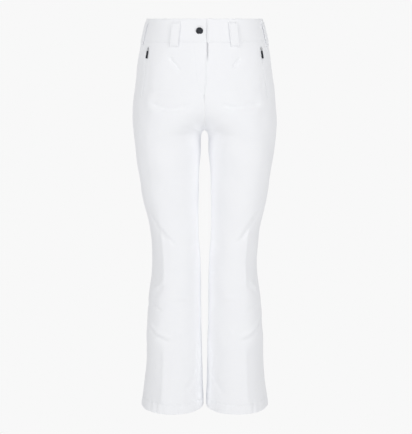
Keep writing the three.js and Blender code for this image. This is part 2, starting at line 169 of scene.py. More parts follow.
# ---------------------------------------------------------------- folds in the cloth
class Fold:
    """A fold along a line given as (t, z) points on one side. shape(d, s) is its height."""

    def __init__(self, side, pts, shape, taper=(18, 18)):
        pts = np.array(pts, float)
        self.side = side
        self.p = np.stack([arc(pts[:, 0], pts[:, 1]), pts[:, 1]], 1)
        # round the corners of the line
        for _ in range(2):
            q = [self.p[0]]
            for a, b in zip(self.p[:-1], self.p[1:]):
                q += [a * 0.75 + b * 0.25, a * 0.25 + b * 0.75]
            self.p = np.array(q + [self.p[-1]])
        self.shape, self.taper = shape, taper
        d = np.diff(self.p, axis=0)
        self.len = np.hypot(d[:, 0], d[:, 1])
        self.cum = np.concatenate([[0], np.cumsum(self.len)])

    def height(self, side, S, z):
        out = np.zeros(S.shape)
        m = side == self.side
        lo, hi = self.p.min(0) - 90, self.p.max(0) + 90
        m = m & (S > lo[0]) & (S < hi[0]) & (z > lo[1]) & (z < hi[1])
        if not m.any():
            return out
        x, y = S[m], z[m]
        best = np.full(x.shape, 1e9)
        sd, sl = np.zeros(x.shape), np.zeros(x.shape)
        n = len(self.len)
        for k in range(n):
            a, d = self.p[k], (self.p[k + 1] - self.p[k]) / self.len[k]
            u = (x - a[0]) * d[0] + (y - a[1]) * d[1]
            uc = np.clip(u, 0, self.len[k])
            dx, dy = x - a[0] - uc * d[0], y - a[1] - uc * d[1]
            q = np.hypot(dx, dy)
            w = q < best
            best[w] = q[w]
            sd[w] = (np.sign(d[0] * (y - a[1]) - d[1] * (x - a[0])) * q)[w]
            sl[w] = (self.cum[k] + uc)[w]
        L = self.cum[-1]
        tp = sm(0, self.taper[0], sl) * sm(0, self.taper[1], L - sl)
        out[m] = self.shape(sd, sl / L) * tp
        return out


def groove(a, w):
    return lambda d, s: -a * np.exp(-(d / w) ** 2)


def ridge(a, w):
    return lambda d, s: a * np.exp(-(d / w) ** 2)


def crease(a, w, b, c, w2):
    """A groove with a swell beside it; c is the swell's distance, signed (positive is left of the line's way)."""
    return lambda d, s: -a * np.exp(-(d / w) ** 2) + b * np.exp(-((d - c) / w2) ** 2)


def smile(sign):
    """The cloth falls back towards the line from above, and swells out just below it."""
    def f(d, s):
        u = d * sign                                # positive below the line
        v, q = np.minimum(u, 0), np.maximum(u, 0)
        fall = (-2.7 * np.exp(-(v / 5.0) ** 2) - 1.4 * np.exp(-(v / 19) ** 2)) * (u <= 0)
        rise = (-4.1 + 6.3 * (1 - np.exp(-(q / 8.0) ** 2))) * np.exp(-(q / 32) ** 2) * (u > 0)
        return fall + rise
    return f


def step(a, w):
    """One side of the line sits higher, and falls off within about 25 mm."""
    return lambda d, s: a * np.tanh(d / w) * np.exp(-(d / 22) ** 2)


R_, L_ = -1, 1
FOLDS = [
    Fold(R_, [(.166, -90), (.144, -102), (.122, -114), (.096, -128)], crease(2.6, 3.4, 0.5, 9, 6), (10, 16)),
    Fold(L_, [(.165, -94), (.142, -105), (.110, -125)], crease(2.6, 3.4, 0.5, 9, 6), (10, 16)),
    Fold(R_, [(.262, -204), (.207, -215), (.156, -220), (.100, -216), (.052, -207)], smile(1), (22, 20)),
    Fold(L_, [(.060, -206), (.130, -218), (.200, -214), (.275, -205)], smile(-1), (20, 22)),
    Fold(R_, [(.262, -181), (.210, -175), (.150, -175), (.090, -182)], ridge(1.5, 9), (20, 20)),
    Fold(L_, [(.060, -179), (.120, -175), (.190, -172), (.255, -178)], ridge(1.5, 9), (20, 20)),
    Fold(R_, [(.402, -486), (.376, -505), (.346, -524), (.310, -549), (.276, -571)], crease(2.0, 6.0, 0.9, -12, 9), (22, 22)),
    Fold(L_, [(.398, -480), (.373, -499), (.333, -518), (.299, -541), (.272, -571)], crease(2.0, 6.0, 0.9, -12, 9), (22, 22)),
    Fold(R_, [(.330, -524), (.279, -554), (.238, -576)], groove(1.6, 4.5), (16, 16)),
    Fold(L_, [(.328, -522), (.283, -554), (.245, -573)], groove(1.6, 4.5), (16, 16)),
    Fold(R_, [(.420, -706), (.363, -685), (.312, -667)], crease(-2.2, 6.5, -1.7, 11, 6.5), (14, 22)),
    Fold(L_, [(.432, -704), (.390, -685), (.350, -669)], crease(-2.2, 6.5, -1.7, 11, 6.5), (14, 22)),
    Fold(R_, [(.290, -718), (.234, -713), (.160, -718)], ridge(1.4, 7), (22, 22)),
    Fold(L_, [(.165, -718), (.237, -713), (.295, -714)], ridge(1.4, 7), (22, 22)),
    Fold(R_, [(.430, -735), (.355, -744), (.306, -752)], groove(2.0, 5), (14, 18)),
    Fold(L_, [(.422, -739), (.352, -744), (.303, -751)], groove(2.0, 5), (14, 18)),
    Fold(R_, [(.445, -780), (.392, -796), (.339, -810), (.293, -818), (.245, -824)], crease(-2.3, 6.5, -1.9, 12, 6.5), (16, 26)),
    Fold(L_, [(.440, -771), (.388, -790), (.344, -805), (.297, -816), (.248, -823)], crease(-2.3, 6.5, -1.9, 12, 6.5), (16, 26)),
    Fold(R_, [(.250, -806), (.206, -808)], ridge(1.5, 11), (10, 10)),
    Fold(L_, [(.248, -806), (.204, -808)], ridge(1.5, 11), (10, 10)),
    Fold(R_, [(.070, -838), (.086, -868), (.092, -895), (.078, -928)], groove(1.8, 9), (22, 22)),
    Fold(L_, [(.056, -846), (.080, -878), (.084, -900), (.072, -930)], groove(1.8, 9), (22, 22)),
    Fold(R_, [(.074, -908), (.138, -938), (.190, -974)], groove(1.9, 9), (22, 18)),
    Fold(L_, [(.068, -915), (.134, -947), (.186, -980)], groove(1.9, 9), (22, 18)),
    Fold(R_, [(.181, -324), (.136, -331), (.057, -333)], groove(0.9, 8), (22, 18)),
    Fold(L_, [(.051, -326), (.127, -326), (.174, -319)], groove(0.9, 8), (18, 22)),
    # the V between the thighs
    Fold(R_, [(.060, -232), (.034, -262), (.012, -292)], groove(1.0, 10), (24, 24)),
    Fold(L_, [(.060, -230), (.034, -262), (.012, -292)], groove(1.0, 10), (24, 24)),
    Fold(R_, [(.135, -246), (.085, -262), (.040, -296)], ridge(1.1, 10), (22, 22)),
    Fold(L_, [(.140, -244), (.085, -262), (.040, -296)], ridge(1.1, 10), (22, 22)),
]
for _sd in (R_, L_):
    _k = 1.0 if _sd > 0 else 0.92
    # small pleats under the waistband, at the sides
    for _t, _a, _l in ((.372, 1.5, 44), (.408, 1.7, 60), (.446, 1.3, 50), (.332, 0.8, 30)):
        FOLDS.append(Fold(_sd, [(_t, -58), (_t + .004, -58 - _l * _k)], crease(_a, 3.2, _a * .5, 7, 4), (1, 28)))
    # the dip from the pocket towards the hip
    FOLDS.append(Fold(_sd, [(.338, -118), (.300, -150), (.276, -190)], groove(1.1, 9), (24, 24)))
    # hem ripples
    for _a, _b, _h in ((.378, .365, 1.3), (.340, .328, 1.5), (.302, .293, 1.3), (.21, .215, .7), (.12, .11, .7), (.62, .63, 1.1), (.72, .70, 1.2), (.85, .86, 1.0), (.45, .44, 1.1)):
        FOLDS.append(Fold(_sd, [(_a, -984 - 6 * _k), (_b, -1034)], groove(_h, 5.5), (20, 1)))
    # back: under the seat, behind the knee, along the calf
    FOLDS += [
        Fold(_sd, [(.70, -268), (.80, -290), (.90, -300), (.965, -296)], crease(2.4, 8, 2.0, 18, 13), (30, 22)),
        Fold(_sd, [(.74, -306), (.85, -322), (.94, -318)], groove(1.6, 8), (26, 22)),
        Fold(_sd, [(.955, -120), (.93, -175), (.90, -215)], groove(1.0, 12), (30, 30)),
        Fold(_sd, [(.60, -84), (.66, -104), (.72, -132)], crease(1.7, 5, .9, 9, 8), (12, 24)),
        Fold(_sd, [(.56, -560), (.66, -586), (.78, -592), (.90, -574)], crease(2.5, 6, 1.8, -13, 9), (24, 24)),
        Fold(_sd, [(.60, -622), (.72, -630), (.85, -612)], crease(2.2, 6, 1.5, 12, 9), (24, 24)),
        Fold(_sd, [(.63, -528), (.74, -548), (.86, -536)], groove(1.5, 6), (24, 24)),
        Fold(_sd, [(.58, -676), (.68, -700), (.80, -706)], groove(1.6, 8), (24, 24)),
        Fold(_sd, [(.66, -840), (.76, -862), (.88, -858)], crease(1.8, 8, 1.5, 14, 11), (28, 28)),
        Fold(_sd, [(.60, -906), (.70, -930), (.84, -936)], groove(1.7, 8), (26, 26)),
        Fold(_sd, [(.82, -400), (.90, -440), (.93, -500)], groove(1.1, 11), (30, 30)),
        # outer side, between the front and back creases
        Fold(_sd, [(.50, -470), (.55, -500), (.60, -520)], groove(1.4, 6), (18, 20)),
        Fold(_sd, [(.47, -742), (.53, -760), (.60, -772)], groove(1.6, 6), (16, 22)),
        Fold(_sd, [(.52, -250), (.55, -300), (.56, -350)], groove(0.9, 12), (26, 30)),
        # inner side of the knee
        Fold(_sd, [(.05, -560), (.10, -578), (.16, -584)], groove(1.1, 7), (16, 20)),
        Fold(_sd, [(.03, -660), (.09, -650), (.14, -652)], groove(1.0, 7), (16, 20)),
    ]

_dirs = rng.normal(size=(26, 3)) * np.array([1.0, 1.0, 0.75])
_dirs /= np.linalg.norm(_dirs, axis=1, keepdims=True)
_lam = np.concatenate([rng.uniform(60, 120, 14), rng.uniform(24, 40, 12)])
_amp = np.concatenate([np.full(14, 0.26), np.full(12, 0.055)])
_pha = rng.uniform(0, 2 * np.pi, 26)


def noise(x, y, z):
    out = 0
    for d, l, a, p in zip(_dirs, _lam, _amp, _pha):
        out = out + a * np.sin(2 * np.pi * (x * d[0] + y * d[1] + z * d[2]) / l + p)
    return out


# curve of the front stitching, as cloth length from the front middle on the wearer's right
J_PTS = np.array([(.041, -57.5), (.0405, -75), (.034, -100), (.031, -120), (.027, -148), (.018, -168), (.008, -182), (.0, -189)])
J_ARC = arc(J_PTS[:, 0], J_PTS[:, 1])


def facet(t, z, a, b, z0, z1, z2, z3, depth):
    """A flat side between a and b, which runs from height z0 to z3."""
    k = np.clip((t - a) / (b - a), 0, 1)
    return -depth * 4 * k * (1 - k) * sm(z0, z1, z) * sm(z3, z2, z)


_cache = {}


def relief(w, z):
    """Height of the cloth's folds above the plain section, at cloth length w and height z."""
    L = total(z)
    w = (w + L) % (2 * L) - L
    side, S = np.where(w < 0, -1, 1), np.abs(w)
    t = t_of_arc(S, z)
    x, y, _, _ = half(t, z)
    x = x * side
    D = noise(x, y, z)
    for f in FOLDS:
        D = D + f.height(side, S, z)
    # flat sides beside the knee and the calf
    for b0, b1 in ((0.0, 0.0),):
        D = D + facet(t, z, .322, .53, -470, -560, -660, -716, 4.6)
        D = D + facet(t, z, .300, .53, -826, -872, -985, -1040, 4.4)
        D = D + facet(t, z, .340, .54, -70, -150, -380, -470, 3.0)
    D = D + 1.2 * np.exp(-((S - arc(.321, z)) / 7) ** 2) * sm(-500, -560, z) * sm(-716, -660, z)
    D = D + 1.2 * np.exp(-((S - arc(.299, z)) / 7) ** 2) * sm(-830, -872, z) * sm(-1030, -985, z)
    calm = 0.22 + 0.78 * sm(-50, -84, z)            # the band stays flat
    fly = 1 - 0.85 * np.exp(-(x / 26) ** 4) * sm(-200, -176, z) * (y < 0)
    zip_ = 1 - 0.92 * np.exp(-((t - .315) / .033) ** 4) * sm(-240, -216, z)
    D = D * calm * fly * zip_
    j = np.interp(-z, -J_PTS[:, 1], J_ARC)
    D = D - 0.55 * np.exp(-((S - j) / 1.7) ** 2) * (side < 0) * (z < -57) * sm(-192, -184, z)
    # hem: a line pressed in by the stitching, and a slight roll below it
    D = D - 0.35 * np.exp(-((z + 1004.5) / 2.2) ** 2) + 0.5 * sm(-1008, -1024, z)
    inner = sm(0.0, 0.05, t) * sm(1.0, 0.95, t)
    return np.where(z < CROTCH, D * (0.35 + 0.65 * inner), D * (1 - (1 - inner) * sm(-170, -262, z)))


def place(w, z, off, folds=1.0):
    """Points of the garment: w is cloth length from the front middle, positive on the wearer's left."""
    w, z, off = np.broadcast_arrays(np.asarray(w, float), np.asarray(z, float), np.asarray(off, float))
    L = total(z)
    u = (w + L) % (2 * L) - L
    side = np.where(u < 0, -1.0, 1.0)
    t = t_of_arc(np.abs(u), z)
    x, y, nx, ny = half(t, z)
    o = off + (relief(w, z) * folds if folds else 0)
    return np.stack([(x + nx * o) * side, y + ny * o, z], -1)


# ---------------------------------------------------------------- meshes
def build(name, V, F, uv=None, smooth=True, mat=None):
    """V in millimetres, F a list of faces, uv one pair for each vertex."""
    me = bpy.data.meshes.new(name)
    V = np.asarray(V, float).reshape(-1, 3) / 1000.0
    if isinstance(F, np.ndarray):
        n, k = F.shape
        loops = F.ravel().astype(np.int32)
        starts = (np.arange(n) * k).astype(np.int32)
        totals = np.full(n, k, np.int32)
    else:
        loops = np.concatenate([np.asarray(f, np.int32).ravel() for f in F]) if F else np.zeros(0, np.int32)
        totals = np.concatenate([np.full(len(np.asarray(f)), np.asarray(f).shape[1], np.int32) for f in F])
        starts = np.concatenate([[0], np.cumsum(totals)[:-1]]).astype(np.int32)
    me.vertices.add(len(V))
    me.vertices.foreach_set("co", V.astype(np.float32).ravel())
    me.loops.add(len(loops))
    me.loops.foreach_set("vertex_index", loops)
    me.polygons.add(len(starts))
    me.polygons.foreach_set("loop_start", starts)
    me.polygons.foreach_set("loop_total", totals)
    me.update(calc_edges=True)
    if uv is not None:
        layer = me.uv_layers.new(name="UVMap")
        layer.data.foreach_set("uv", np.asarray(uv, np.float32)[loops].ravel())
    me.polygons.foreach_set("use_smooth", np.full(len(starts), smooth))
    me.validate()
    ob = bpy.data.objects.new(name, me)
    bpy.context.scene.collection.objects.link(ob)
    if mat is not None:
        me.materials.append(mat)
    return ob


def fix_out(ob):
    """Turns the faces of a closed mesh outwards."""
    bm = bmesh.new()
    bm.from_mesh(ob.data)
    if bm.calc_volume(signed=True) < 0:
        bmesh.ops.reverse_faces(bm, faces=bm.faces)
        bm.to_mesh(ob.data)
    bm.free()
    return ob


EDGE = np.array([0, .22, .55, 1.0, 1.7, 2.7, 4.2, 6.4])


def spaced(a, b, step_, e=EDGE):
    """Numbers from a to b, close together near both ends."""
    n = abs(b - a)
    s = 1 if b > a else -1
    e = e[e < n * 0.4]
    m = max(2, int(math.ceil((n - 2 * e[-1]) / step_)))
    mid = np.linspace(e[-1], n - e[-1], m + 1)[1:-1]
    return a + s * np.concatenate([e, mid, n - e[::-1]])


def columns(A, B, n_mid, e=EDGE, e0=None):
    """Cloth lengths from A to B for each row: fixed distances near both ends, evenly spread between."""
    e0 = e if e0 is None else e0
    cols = [A + d for d in e0]
    cols += [(A + e0[-1]) * (1 - k) + (B - e[-1]) * k for k in np.arange(1, n_mid + 1) / (n_mid + 1)]
    return np.stack(cols + [B - d for d in e[::-1]], 1)


def cloth(name, rows, W, outer, thick, mat, keep=None, dips=(0.9, 0.9, 0.9, 0.9), ends=(1, 1, 1, 1), folds=1.0,
          extra=None, hole_d=None, loop=False, uvo=(0, 0)):
    """A closed sheet. rows: heights. W[i, j]: cloth length. outer: offset of the outer face, number or array.
    dips: how far the seam edges turn in at (left column, right column, top row, bottom row)."""
    Rn, Cn = W.shape
    z = np.repeat(np.asarray(rows, float)[:, None], Cn, 1)
    d0, d1 = W - W[:, :1], W[:, -1:] - W
    dt, db = z[:1] - z, z - z[-1:]
    big = np.full(W.shape, 1e3)
    if loop:
        d0 = d1 = big
    d = np.minimum.reduce([d0 if ends[0] else big, d1 if ends[1] else big, dt if ends[2] else big, db if ends[3] else big])
    if hole_d is not None:
        d = np.minimum(d, hole_d)
    h = thick / 2
    r = np.sqrt(np.clip(1 - (1 - np.clip(d / h + 0.04, 0, 1)) ** 2, 0, 1))
    o = np.broadcast_to(np.asarray(outer, float), W.shape).copy()
    for k, dd in enumerate((d0, d1, dt, db)):
        o = o - dips[k] * np.exp(-(dd / 2.0) ** 2)
    if hole_d is not None:
        o = o - 0.35 * np.exp(-(hole_d / 1.6) ** 2)
    if extra is not None:
        o = o + extra
    rel = relief(W, z) * folds if folds else 0
    Vo = place(W, z, o - h + h * r + rel, 0)
    Vi = place(W, z, o - h - h * r + rel, 0)
    V = np.concatenate([Vo.reshape(-1, 3), Vi.reshape(-1, 3)])
    N = Rn * Cn
    cc = Cn if loop else Cn - 1
    i, j = np.meshgrid(np.arange(Rn - 1), np.arange(cc), indexing="ij")
    j2 = (j + 1) % Cn
    a, b, c, e = i * Cn + j, i * Cn + j2, (i + 1) * Cn + j2, (i + 1) * Cn + j
    q = np.stack([a, e, c, b], -1).reshape(-1, 4)
    m = np.ones(len(q), bool) if keep is None else keep.reshape(-1)
    q = q[m]
    # walls along every free edge
    ed = np.concatenate([q[:, [0, 1]], q[:, [1, 2]], q[:, [2, 3]], q[:, [3, 0]]])
    key = np.sort(ed, 1)
    code = key[:, 0].astype(np.int64) * (N + 1) + key[:, 1]
    _, first, count = np.unique(code, return_index=True, return_counts=True)
    fe = ed[first[count == 1]]
    walls = np.stack([fe[:, 1], fe[:, 0], fe[:, 0] + N, fe[:, 1] + N], 1)
    F = np.concatenate([q, q[:, ::-1] + N, walls])
    used = np.zeros(2 * N, bool)
    used[F.ravel()] = True
    remap = np.cumsum(used) - 1
    uv = np.stack([W / 1000 + uvo[0], z / 1000 + uvo[1]], -1).reshape(-1, 2)
    uv = np.concatenate([uv, uv])
    ob = build(name, V[used], remap[F], uv[used], mat=mat)
    return fix_out(ob)


def lathe(name, org, ax, profile, seg, mat, wobble=None):
    """profile: (along, radius) from one end of the axis to the other, both ends on the axis or a closed loop."""
    ax = np.asarray(ax, float) / np.linalg.norm(ax)
    e1 = np.cross(ax, [0, 0, 1.0])
    e1 /= np.linalg.norm(e1)
    e2 = np.cross(ax, e1)
    closed = profile[0][1] > 1e-6
    V, ring = [], []
    th = 2 * np.pi * np.arange(seg) / seg
    for h, r in profile:
        ring.append(len(V))
        if r < 1e-6:
            V.append(np.asarray(org) + ax * h)
        else:
            rr = r if wobble is None else r + wobble(h, r, th)
            rr = np.broadcast_to(rr, th.shape)
            for k in range(seg):
                V.append(np.asarray(org) + ax * h + rr[k] * (e1 * math.cos(th[k]) + e2 * math.sin(th[k])))
    Q, T = [], []
    M = len(profile)
    for i in range(M if closed else M - 1):
        j = (i + 1) % M
        ri, rj = profile[i][1] > 1e-6, profile[j][1] > 1e-6
        for k in range(seg):
            k2 = (k + 1) % seg
            if ri and rj:
                Q.append((ring[i] + k, ring[i] + k2, ring[j] + k2, ring[j] + k))
            elif ri:
                T.append((ring[i] + k, ring[i] + k2, ring[j]))
            elif rj:
                T.append((ring[i], ring[j] + k2, ring[j] + k))
    ob = build(name, V, [np.array(Q)] + ([np.array(T)] if T else []), mat=mat)
    return fix_out(ob)


def tube(paths, radius, seg=8, closed=False, caps=True):
    """Vertices and faces of round tubes along point lists, all with one radius."""
    VV, FF, TT, base = [], [], [], 0
    th = 2 * np.pi * np.arange(seg) / seg
    for p in paths:
        p = np.asarray(p, float)
        n = len(p)
        d = np.gradient(p, axis=0) if not closed else (np.roll(p, -1, 0) - np.roll(p, 1, 0))
        d /= np.linalg.norm(d, axis=1, keepdims=True)
        ref = np.array([0.31, 0.52, 0.79]) if abs(d[0] @ np.array([0.31, 0.52, 0.79])) < 0.9 else np.array([1.0, 0, 0])
        u = np.cross(d[0], ref)
        u /= np.linalg.norm(u)
        fr = []
        for k in range(n):
            u = u - d[k] * (u @ d[k])
            u /= np.linalg.norm(u)
            fr.append((u.copy(), np.cross(d[k], u)))
        r = np.full(n, radius) if np.isscalar(radius) else np.asarray(radius)
        V = np.array([p[k] + r[k] * (np.cos(th)[:, None] * fr[k][0] + np.sin(th)[:, None] * fr[k][1]) for k in range(n)]).reshape(-1, 3)
        m = n if closed else n - 1
        i, j = np.meshgrid(np.arange(m), np.arange(seg), indexing="ij")
        i2, j2 = (i + 1) % n, (j + 1) % seg
        FF.append(np.stack([i * seg + j, i * seg + j2, i2 * seg + j2, i2 * seg + j], -1).reshape(-1, 4) + base)
        if not closed and caps:
            V = np.concatenate([V, p[:1], p[-1:]])
            a, b = n * seg, n * seg + 1
            k = np.arange(seg)
            TT.append(np.stack([k, np.full(seg, a), (k + 1) % seg], 1) + base)
            TT.append(np.stack([(n - 1) * seg + (k + 1) % seg, np.full(seg, b), (n - 1) * seg + k], 1) + base)
        VV.append(V)
        base += len(V)
    return np.concatenate(VV), [np.concatenate(FF)] + ([np.concatenate(TT)] if TT else [])


def stitches(name, runs, mat, pitch=3.1, gap=0.9, r=0.21, lift=0.12):
    """Thread stitches along runs of surface points. Each run: (points at about 0.5 mm, outward normals)."""
    VV, FF, base = [], [], 0
    seg = 6
    th = 2 * np.pi * np.arange(seg) / seg
    ks = np.array([0, .12, .3, .5, .7, .88, 1.0])
    rad = np.array([.35, .85, 1, 1, 1, .85, .35]) * r
    hei = np.array([-.25, .02, .1, .13, .1, .02, -.25])
    starts, dirs, nors, lens = [], [], [], []
    for p, n in runs:
        p = np.asarray(p, float)
        n = np.asarray(n, float)
        q = np.concatenate([[0], np.cumsum(np.linalg.norm(np.diff(p, axis=0), axis=1))])
        m = int(q[-1] / pitch)
        if m < 1:
            continue
        s0 = (q[-1] - m * pitch) / 2 + gap / 2 + pitch * np.arange(m)
        s1 = s0 + pitch - gap
        A = np.stack([np.interp(s0, q, p[:, k]) for k in range(3)], 1)
        B = np.stack([np.interp(s1, q, p[:, k]) for k in range(3)], 1)
        Nn = np.stack([np.interp((s0 + s1) / 2, q, n[:, k]) for k in range(3)], 1)
        starts.append(A)
        dirs.append(B - A)
        nors.append(Nn / np.linalg.norm(Nn, axis=1, keepdims=True))
    A, D, Nn = np.concatenate(starts), np.concatenate(dirs), np.concatenate(nors)
    u = D / np.linalg.norm(D, axis=1, keepdims=True)
    s = np.cross(u, Nn)
    m = len(A)
    V = np.zeros((m, len(ks), seg, 3))
    for a, (k, rr, hh) in enumerate(zip(ks, rad, hei)):
        c = A + D * k + Nn * (lift + hh)
        V[:, a] = c[:, None] + rr * (np.cos(th)[None, :, None] * s[:, None] + np.sin(th)[None, :, None] * Nn[:, None])
    V = V.reshape(-1, 3)
    i, j = np.meshgrid(np.arange(len(ks) - 1), np.arange(seg), indexing="ij")
    one = np.stack([i * seg + j, i * seg + (j + 1) % seg, (i + 1) * seg + (j + 1) % seg, (i + 1) * seg + j], -1).reshape(-1, 4)
    cap = np.array([[5, 4, 3, 2, 1, 0], np.array([0, 1, 2, 3, 4, 5]) + (len(ks) - 1) * seg])
    st = (np.arange(m) * len(ks) * seg)[:, None, None]
    ob = build(name, V, [(one[None] + st).reshape(-1, 4), (cap[None] + st).reshape(-1, 6)], mat=mat)
    return fix_out(ob)


def surf_run(w, z, off, n=None):
    """Points and normals along a line on the garment."""
    w, z = np.broadcast_arrays(np.asarray(w, float), np.asarray(z, float))
    p = place(w, z, off)
    a, b = place(w, z, off, 0), place(w, z, off + 5.0, 0)
    m = (b - a) / 5.0
    # lean with the cloth's slope down the garment
    up = place(w, z + 2, off) - place(w, z - 2, off)
    up /= np.linalg.norm(up, axis=1, keepdims=True)
    m = m - up * np.sum(m * up, axis=1, keepdims=True)
    return p, m / np.linalg.norm(m, axis=1, keepdims=True)


# ---------------------------------------------------------------- materials
def nodes_of(name):
    m = bpy.data.materials.new(name)
    m.use_nodes = True
    t = m.node_tree
    b = t.nodes.get("Principled BSDF")
    return m, t, b


def add(t, kind, **kw):
    n = t.nodes.new(kind)
    for k, v in kw.items():
        setattr(n, k, v)
    return n


def fabric(name, col, dark, weave, rough=0.78, sheen=0.25, bump=0.35, kind="plain", nap=0.0, soft=(60, .5)):
    """Woven cloth: threads from the UVs (metres), slow changes of tone, and a fine nap."""
    m, t, b = nodes_of(name)
    L = t.links
    uv = add(t, "ShaderNodeTexCoord")
    mp = add(t, "ShaderNodeMapping")
    mp.inputs["Scale"].default_value = (weave, weave, 1)
    L.new(uv.outputs["UV"], mp.inputs["Vector"])
    sx = add(t, "ShaderNodeSeparateXYZ")
    L.new(mp.outputs["Vector"], sx.inputs[0])

    def sine(sock, mul, ph=0.0):
        a = add(t, "ShaderNodeMath", operation="MULTIPLY_ADD")
        a.inputs[1].default_value, a.inputs[2].default_value = mul * 2 * math.pi, ph
        L.new(sock, a.inputs[0])
        s = add(t, "ShaderNodeMath", operation="SINE")
        L.new(a.outputs[0], s.inputs[0])
        return s.outputs[0]

    def op(kind_, x, y):
        a = add(t, "ShaderNodeMath", operation=kind_)
        for k, v in ((0, x), (1, y)):
            if isinstance(v, (int, float)):
                a.inputs[k].default_value = v
            else:
                L.new(v, a.inputs[k])
        return a.outputs[0]

    if kind == "twill":
        d = op("ADD", sx.outputs[0], op("MULTIPLY", sx.outputs[1], 0.62))
        hgt = op("ADD", op("MULTIPLY", sine(d, 1), 0.5), op("MULTIPLY", op("MULTIPLY", sine(sx.outputs[0], 1), sine(sx.outputs[1], 1)), 0.35))
    elif kind == "knit":
        hgt = op("ADD", op("ABSOLUTE", sine(sx.outputs[0], 0.5), 0), op("MULTIPLY", sine(sx.outputs[1], 1), 0.35))
    elif kind == "rib":
        hgt = op("ADD", op("MULTIPLY", sine(sx.outputs[1], 1), 0.6), op("MULTIPLY", sine(sx.outputs[0], 0.4), 0.4))
    else:
        hgt = op("MULTIPLY", sine(sx.outputs[0], 1), sine(sx.outputs[1], 1))
    tc = add(t, "ShaderNodeTexCoord")
    n1 = add(t, "ShaderNodeTexNoise")
    n1.inputs["Scale"].default_value = soft[0] / 4
    n1.inputs["Detail"].default_value = 3
    L.new(tc.outputs["Object"], n1.inputs["Vector"])
    n2 = add(t, "ShaderNodeTexNoise")
    n2.inputs["Scale"].default_value = 1400
    n2.inputs["Detail"].default_value = 2
    L.new(tc.outputs["Object"], n2.inputs["Vector"])
    fac = op("ADD", op("MULTIPLY", n1.outputs["Fac"], soft[1]), op("ADD", op("MULTIPLY", n2.outputs["Fac"], 0.25), op("MULTIPLY", hgt, 0.12)))
    ramp = add(t, "ShaderNodeMapRange")
    ramp.inputs["From Min"].default_value, ramp.inputs["From Max"].default_value = 0.1, 0.8
    L.new(fac, ramp.inputs["Value"])
    mix = add(t, "ShaderNodeMix", data_type="RGBA")
    mix.inputs["A"].default_value = (*dark, 1)
    mix.inputs["B"].default_value = (*col, 1)
    L.new(ramp.outputs["Result"], mix.inputs["Factor"])
    L.new(mix.outputs["Result"], b.inputs["Base Color"])
    rr = add(t, "ShaderNodeMapRange")
    rr.inputs["To Min"].default_value, rr.inputs["To Max"].default_value = rough - 0.07, rough + 0.07
    L.new(n1.outputs["Fac"], rr.inputs["Value"])
    L.new(rr.outputs["Result"], b.inputs["Roughness"])
    h = op("ADD", hgt, op("MULTIPLY", n2.outputs["Fac"], 0.5 + nap))
    bp = add(t, "ShaderNodeBump")
    bp.inputs["Strength"].default_value = bump
    bp.inputs["Distance"].default_value = 0.0001
    L.new(h, bp.inputs["Height"])
    L.new(bp.outputs["Normal"], b.inputs["Normal"])
    b.inputs["Sheen Weight"].default_value = sheen
    b.inputs["Sheen Roughness"].default_value = 0.45
    b.inputs["Specular IOR Level"].default_value = 0.28
    return m


def metal(name, col, rough=0.36, scratch=0.12):
    m, t, b = nodes_of(name)
    L = t.links
    tc = add(t, "ShaderNodeTexCoord")
    n1 = add(t, "ShaderNodeTexNoise")
    n1.inputs["Scale"].default_value = 900
    n1.inputs["Detail"].default_value = 4
    L.new(tc.outputs["Object"], n1.inputs["Vector"])
    mp = add(t, "ShaderNodeMapping")
    mp.inputs["Scale"].default_value = (400, 400, 6000)
    L.new(tc.outputs["Object"], mp.inputs["Vector"])
    n2 = add(t, "ShaderNodeTexNoise")
    n2.inputs["Scale"].default_value = 1.0
    L.new(mp.outputs["Vector"], n2.inputs["Vector"])
    mx = add(t, "ShaderNodeMix", data_type="RGBA")
    mx.inputs["A"].default_value = (*[c * 0.7 for c in col], 1)
    mx.inputs["B"].default_value = (*[c * 1.35 for c in col], 1)
    L.new(n1.outputs["Fac"], mx.inputs["Factor"])
    L.new(mx.outputs["Result"], b.inputs["Base Color"])
    r = add(t, "ShaderNodeMapRange")
    r.inputs["To Min"].default_value, r.inputs["To Max"].default_value = rough - 0.1, rough + 0.1
    L.new(n2.outputs["Fac"], r.inputs["Value"])
    L.new(r.outputs["Result"], b.inputs["Roughness"])
    bp = add(t, "ShaderNodeBump")
    bp.inputs["Strength"].default_value = scratch
    bp.inputs["Distance"].default_value = 0.00005
    L.new(n2.outputs["Fac"], bp.inputs["Height"])
    L.new(bp.outputs["Normal"], b.inputs["Normal"])
    b.inputs["Metallic"].default_value = 1.0
    return m


def plastic(name, col, rough=0.42):
    m, t, b = nodes_of(name)
    L = t.links
    tc = add(t, "ShaderNodeTexCoord")
    n1 = add(t, "ShaderNodeTexNoise")
    n1.inputs["Scale"].default_value = 700
    n1.inputs["Detail"].default_value = 3
    L.new(tc.outputs["Object"], n1.inputs["Vector"])
    mx = add(t, "ShaderNodeMix", data_type="RGBA")
    mx.inputs["A"].default_value = (*[c * 0.9 for c in col], 1)
    mx.inputs["B"].default_value = (*col, 1)
    L.new(n1.outputs["Fac"], mx.inputs["Factor"])
    L.new(mx.outputs["Result"], b.inputs["Base Color"])
    r = add(t, "ShaderNodeMapRange")
    r.inputs["To Min"].default_value, r.inputs["To Max"].default_value = rough - 0.08, rough + 0.08
    L.new(n1.outputs["Fac"], r.inputs["Value"])
    L.new(r.outputs["Result"], b.inputs["Roughness"])
    bp = add(t, "ShaderNodeBump")
    bp.inputs["Strength"].default_value = 0.1
    bp.inputs["Distance"].default_value = 0.00005
    L.new(n1.outputs["Fac"], bp.inputs["Height"])
    L.new(bp.outputs["Normal"], b.inputs["Normal"])
    return m


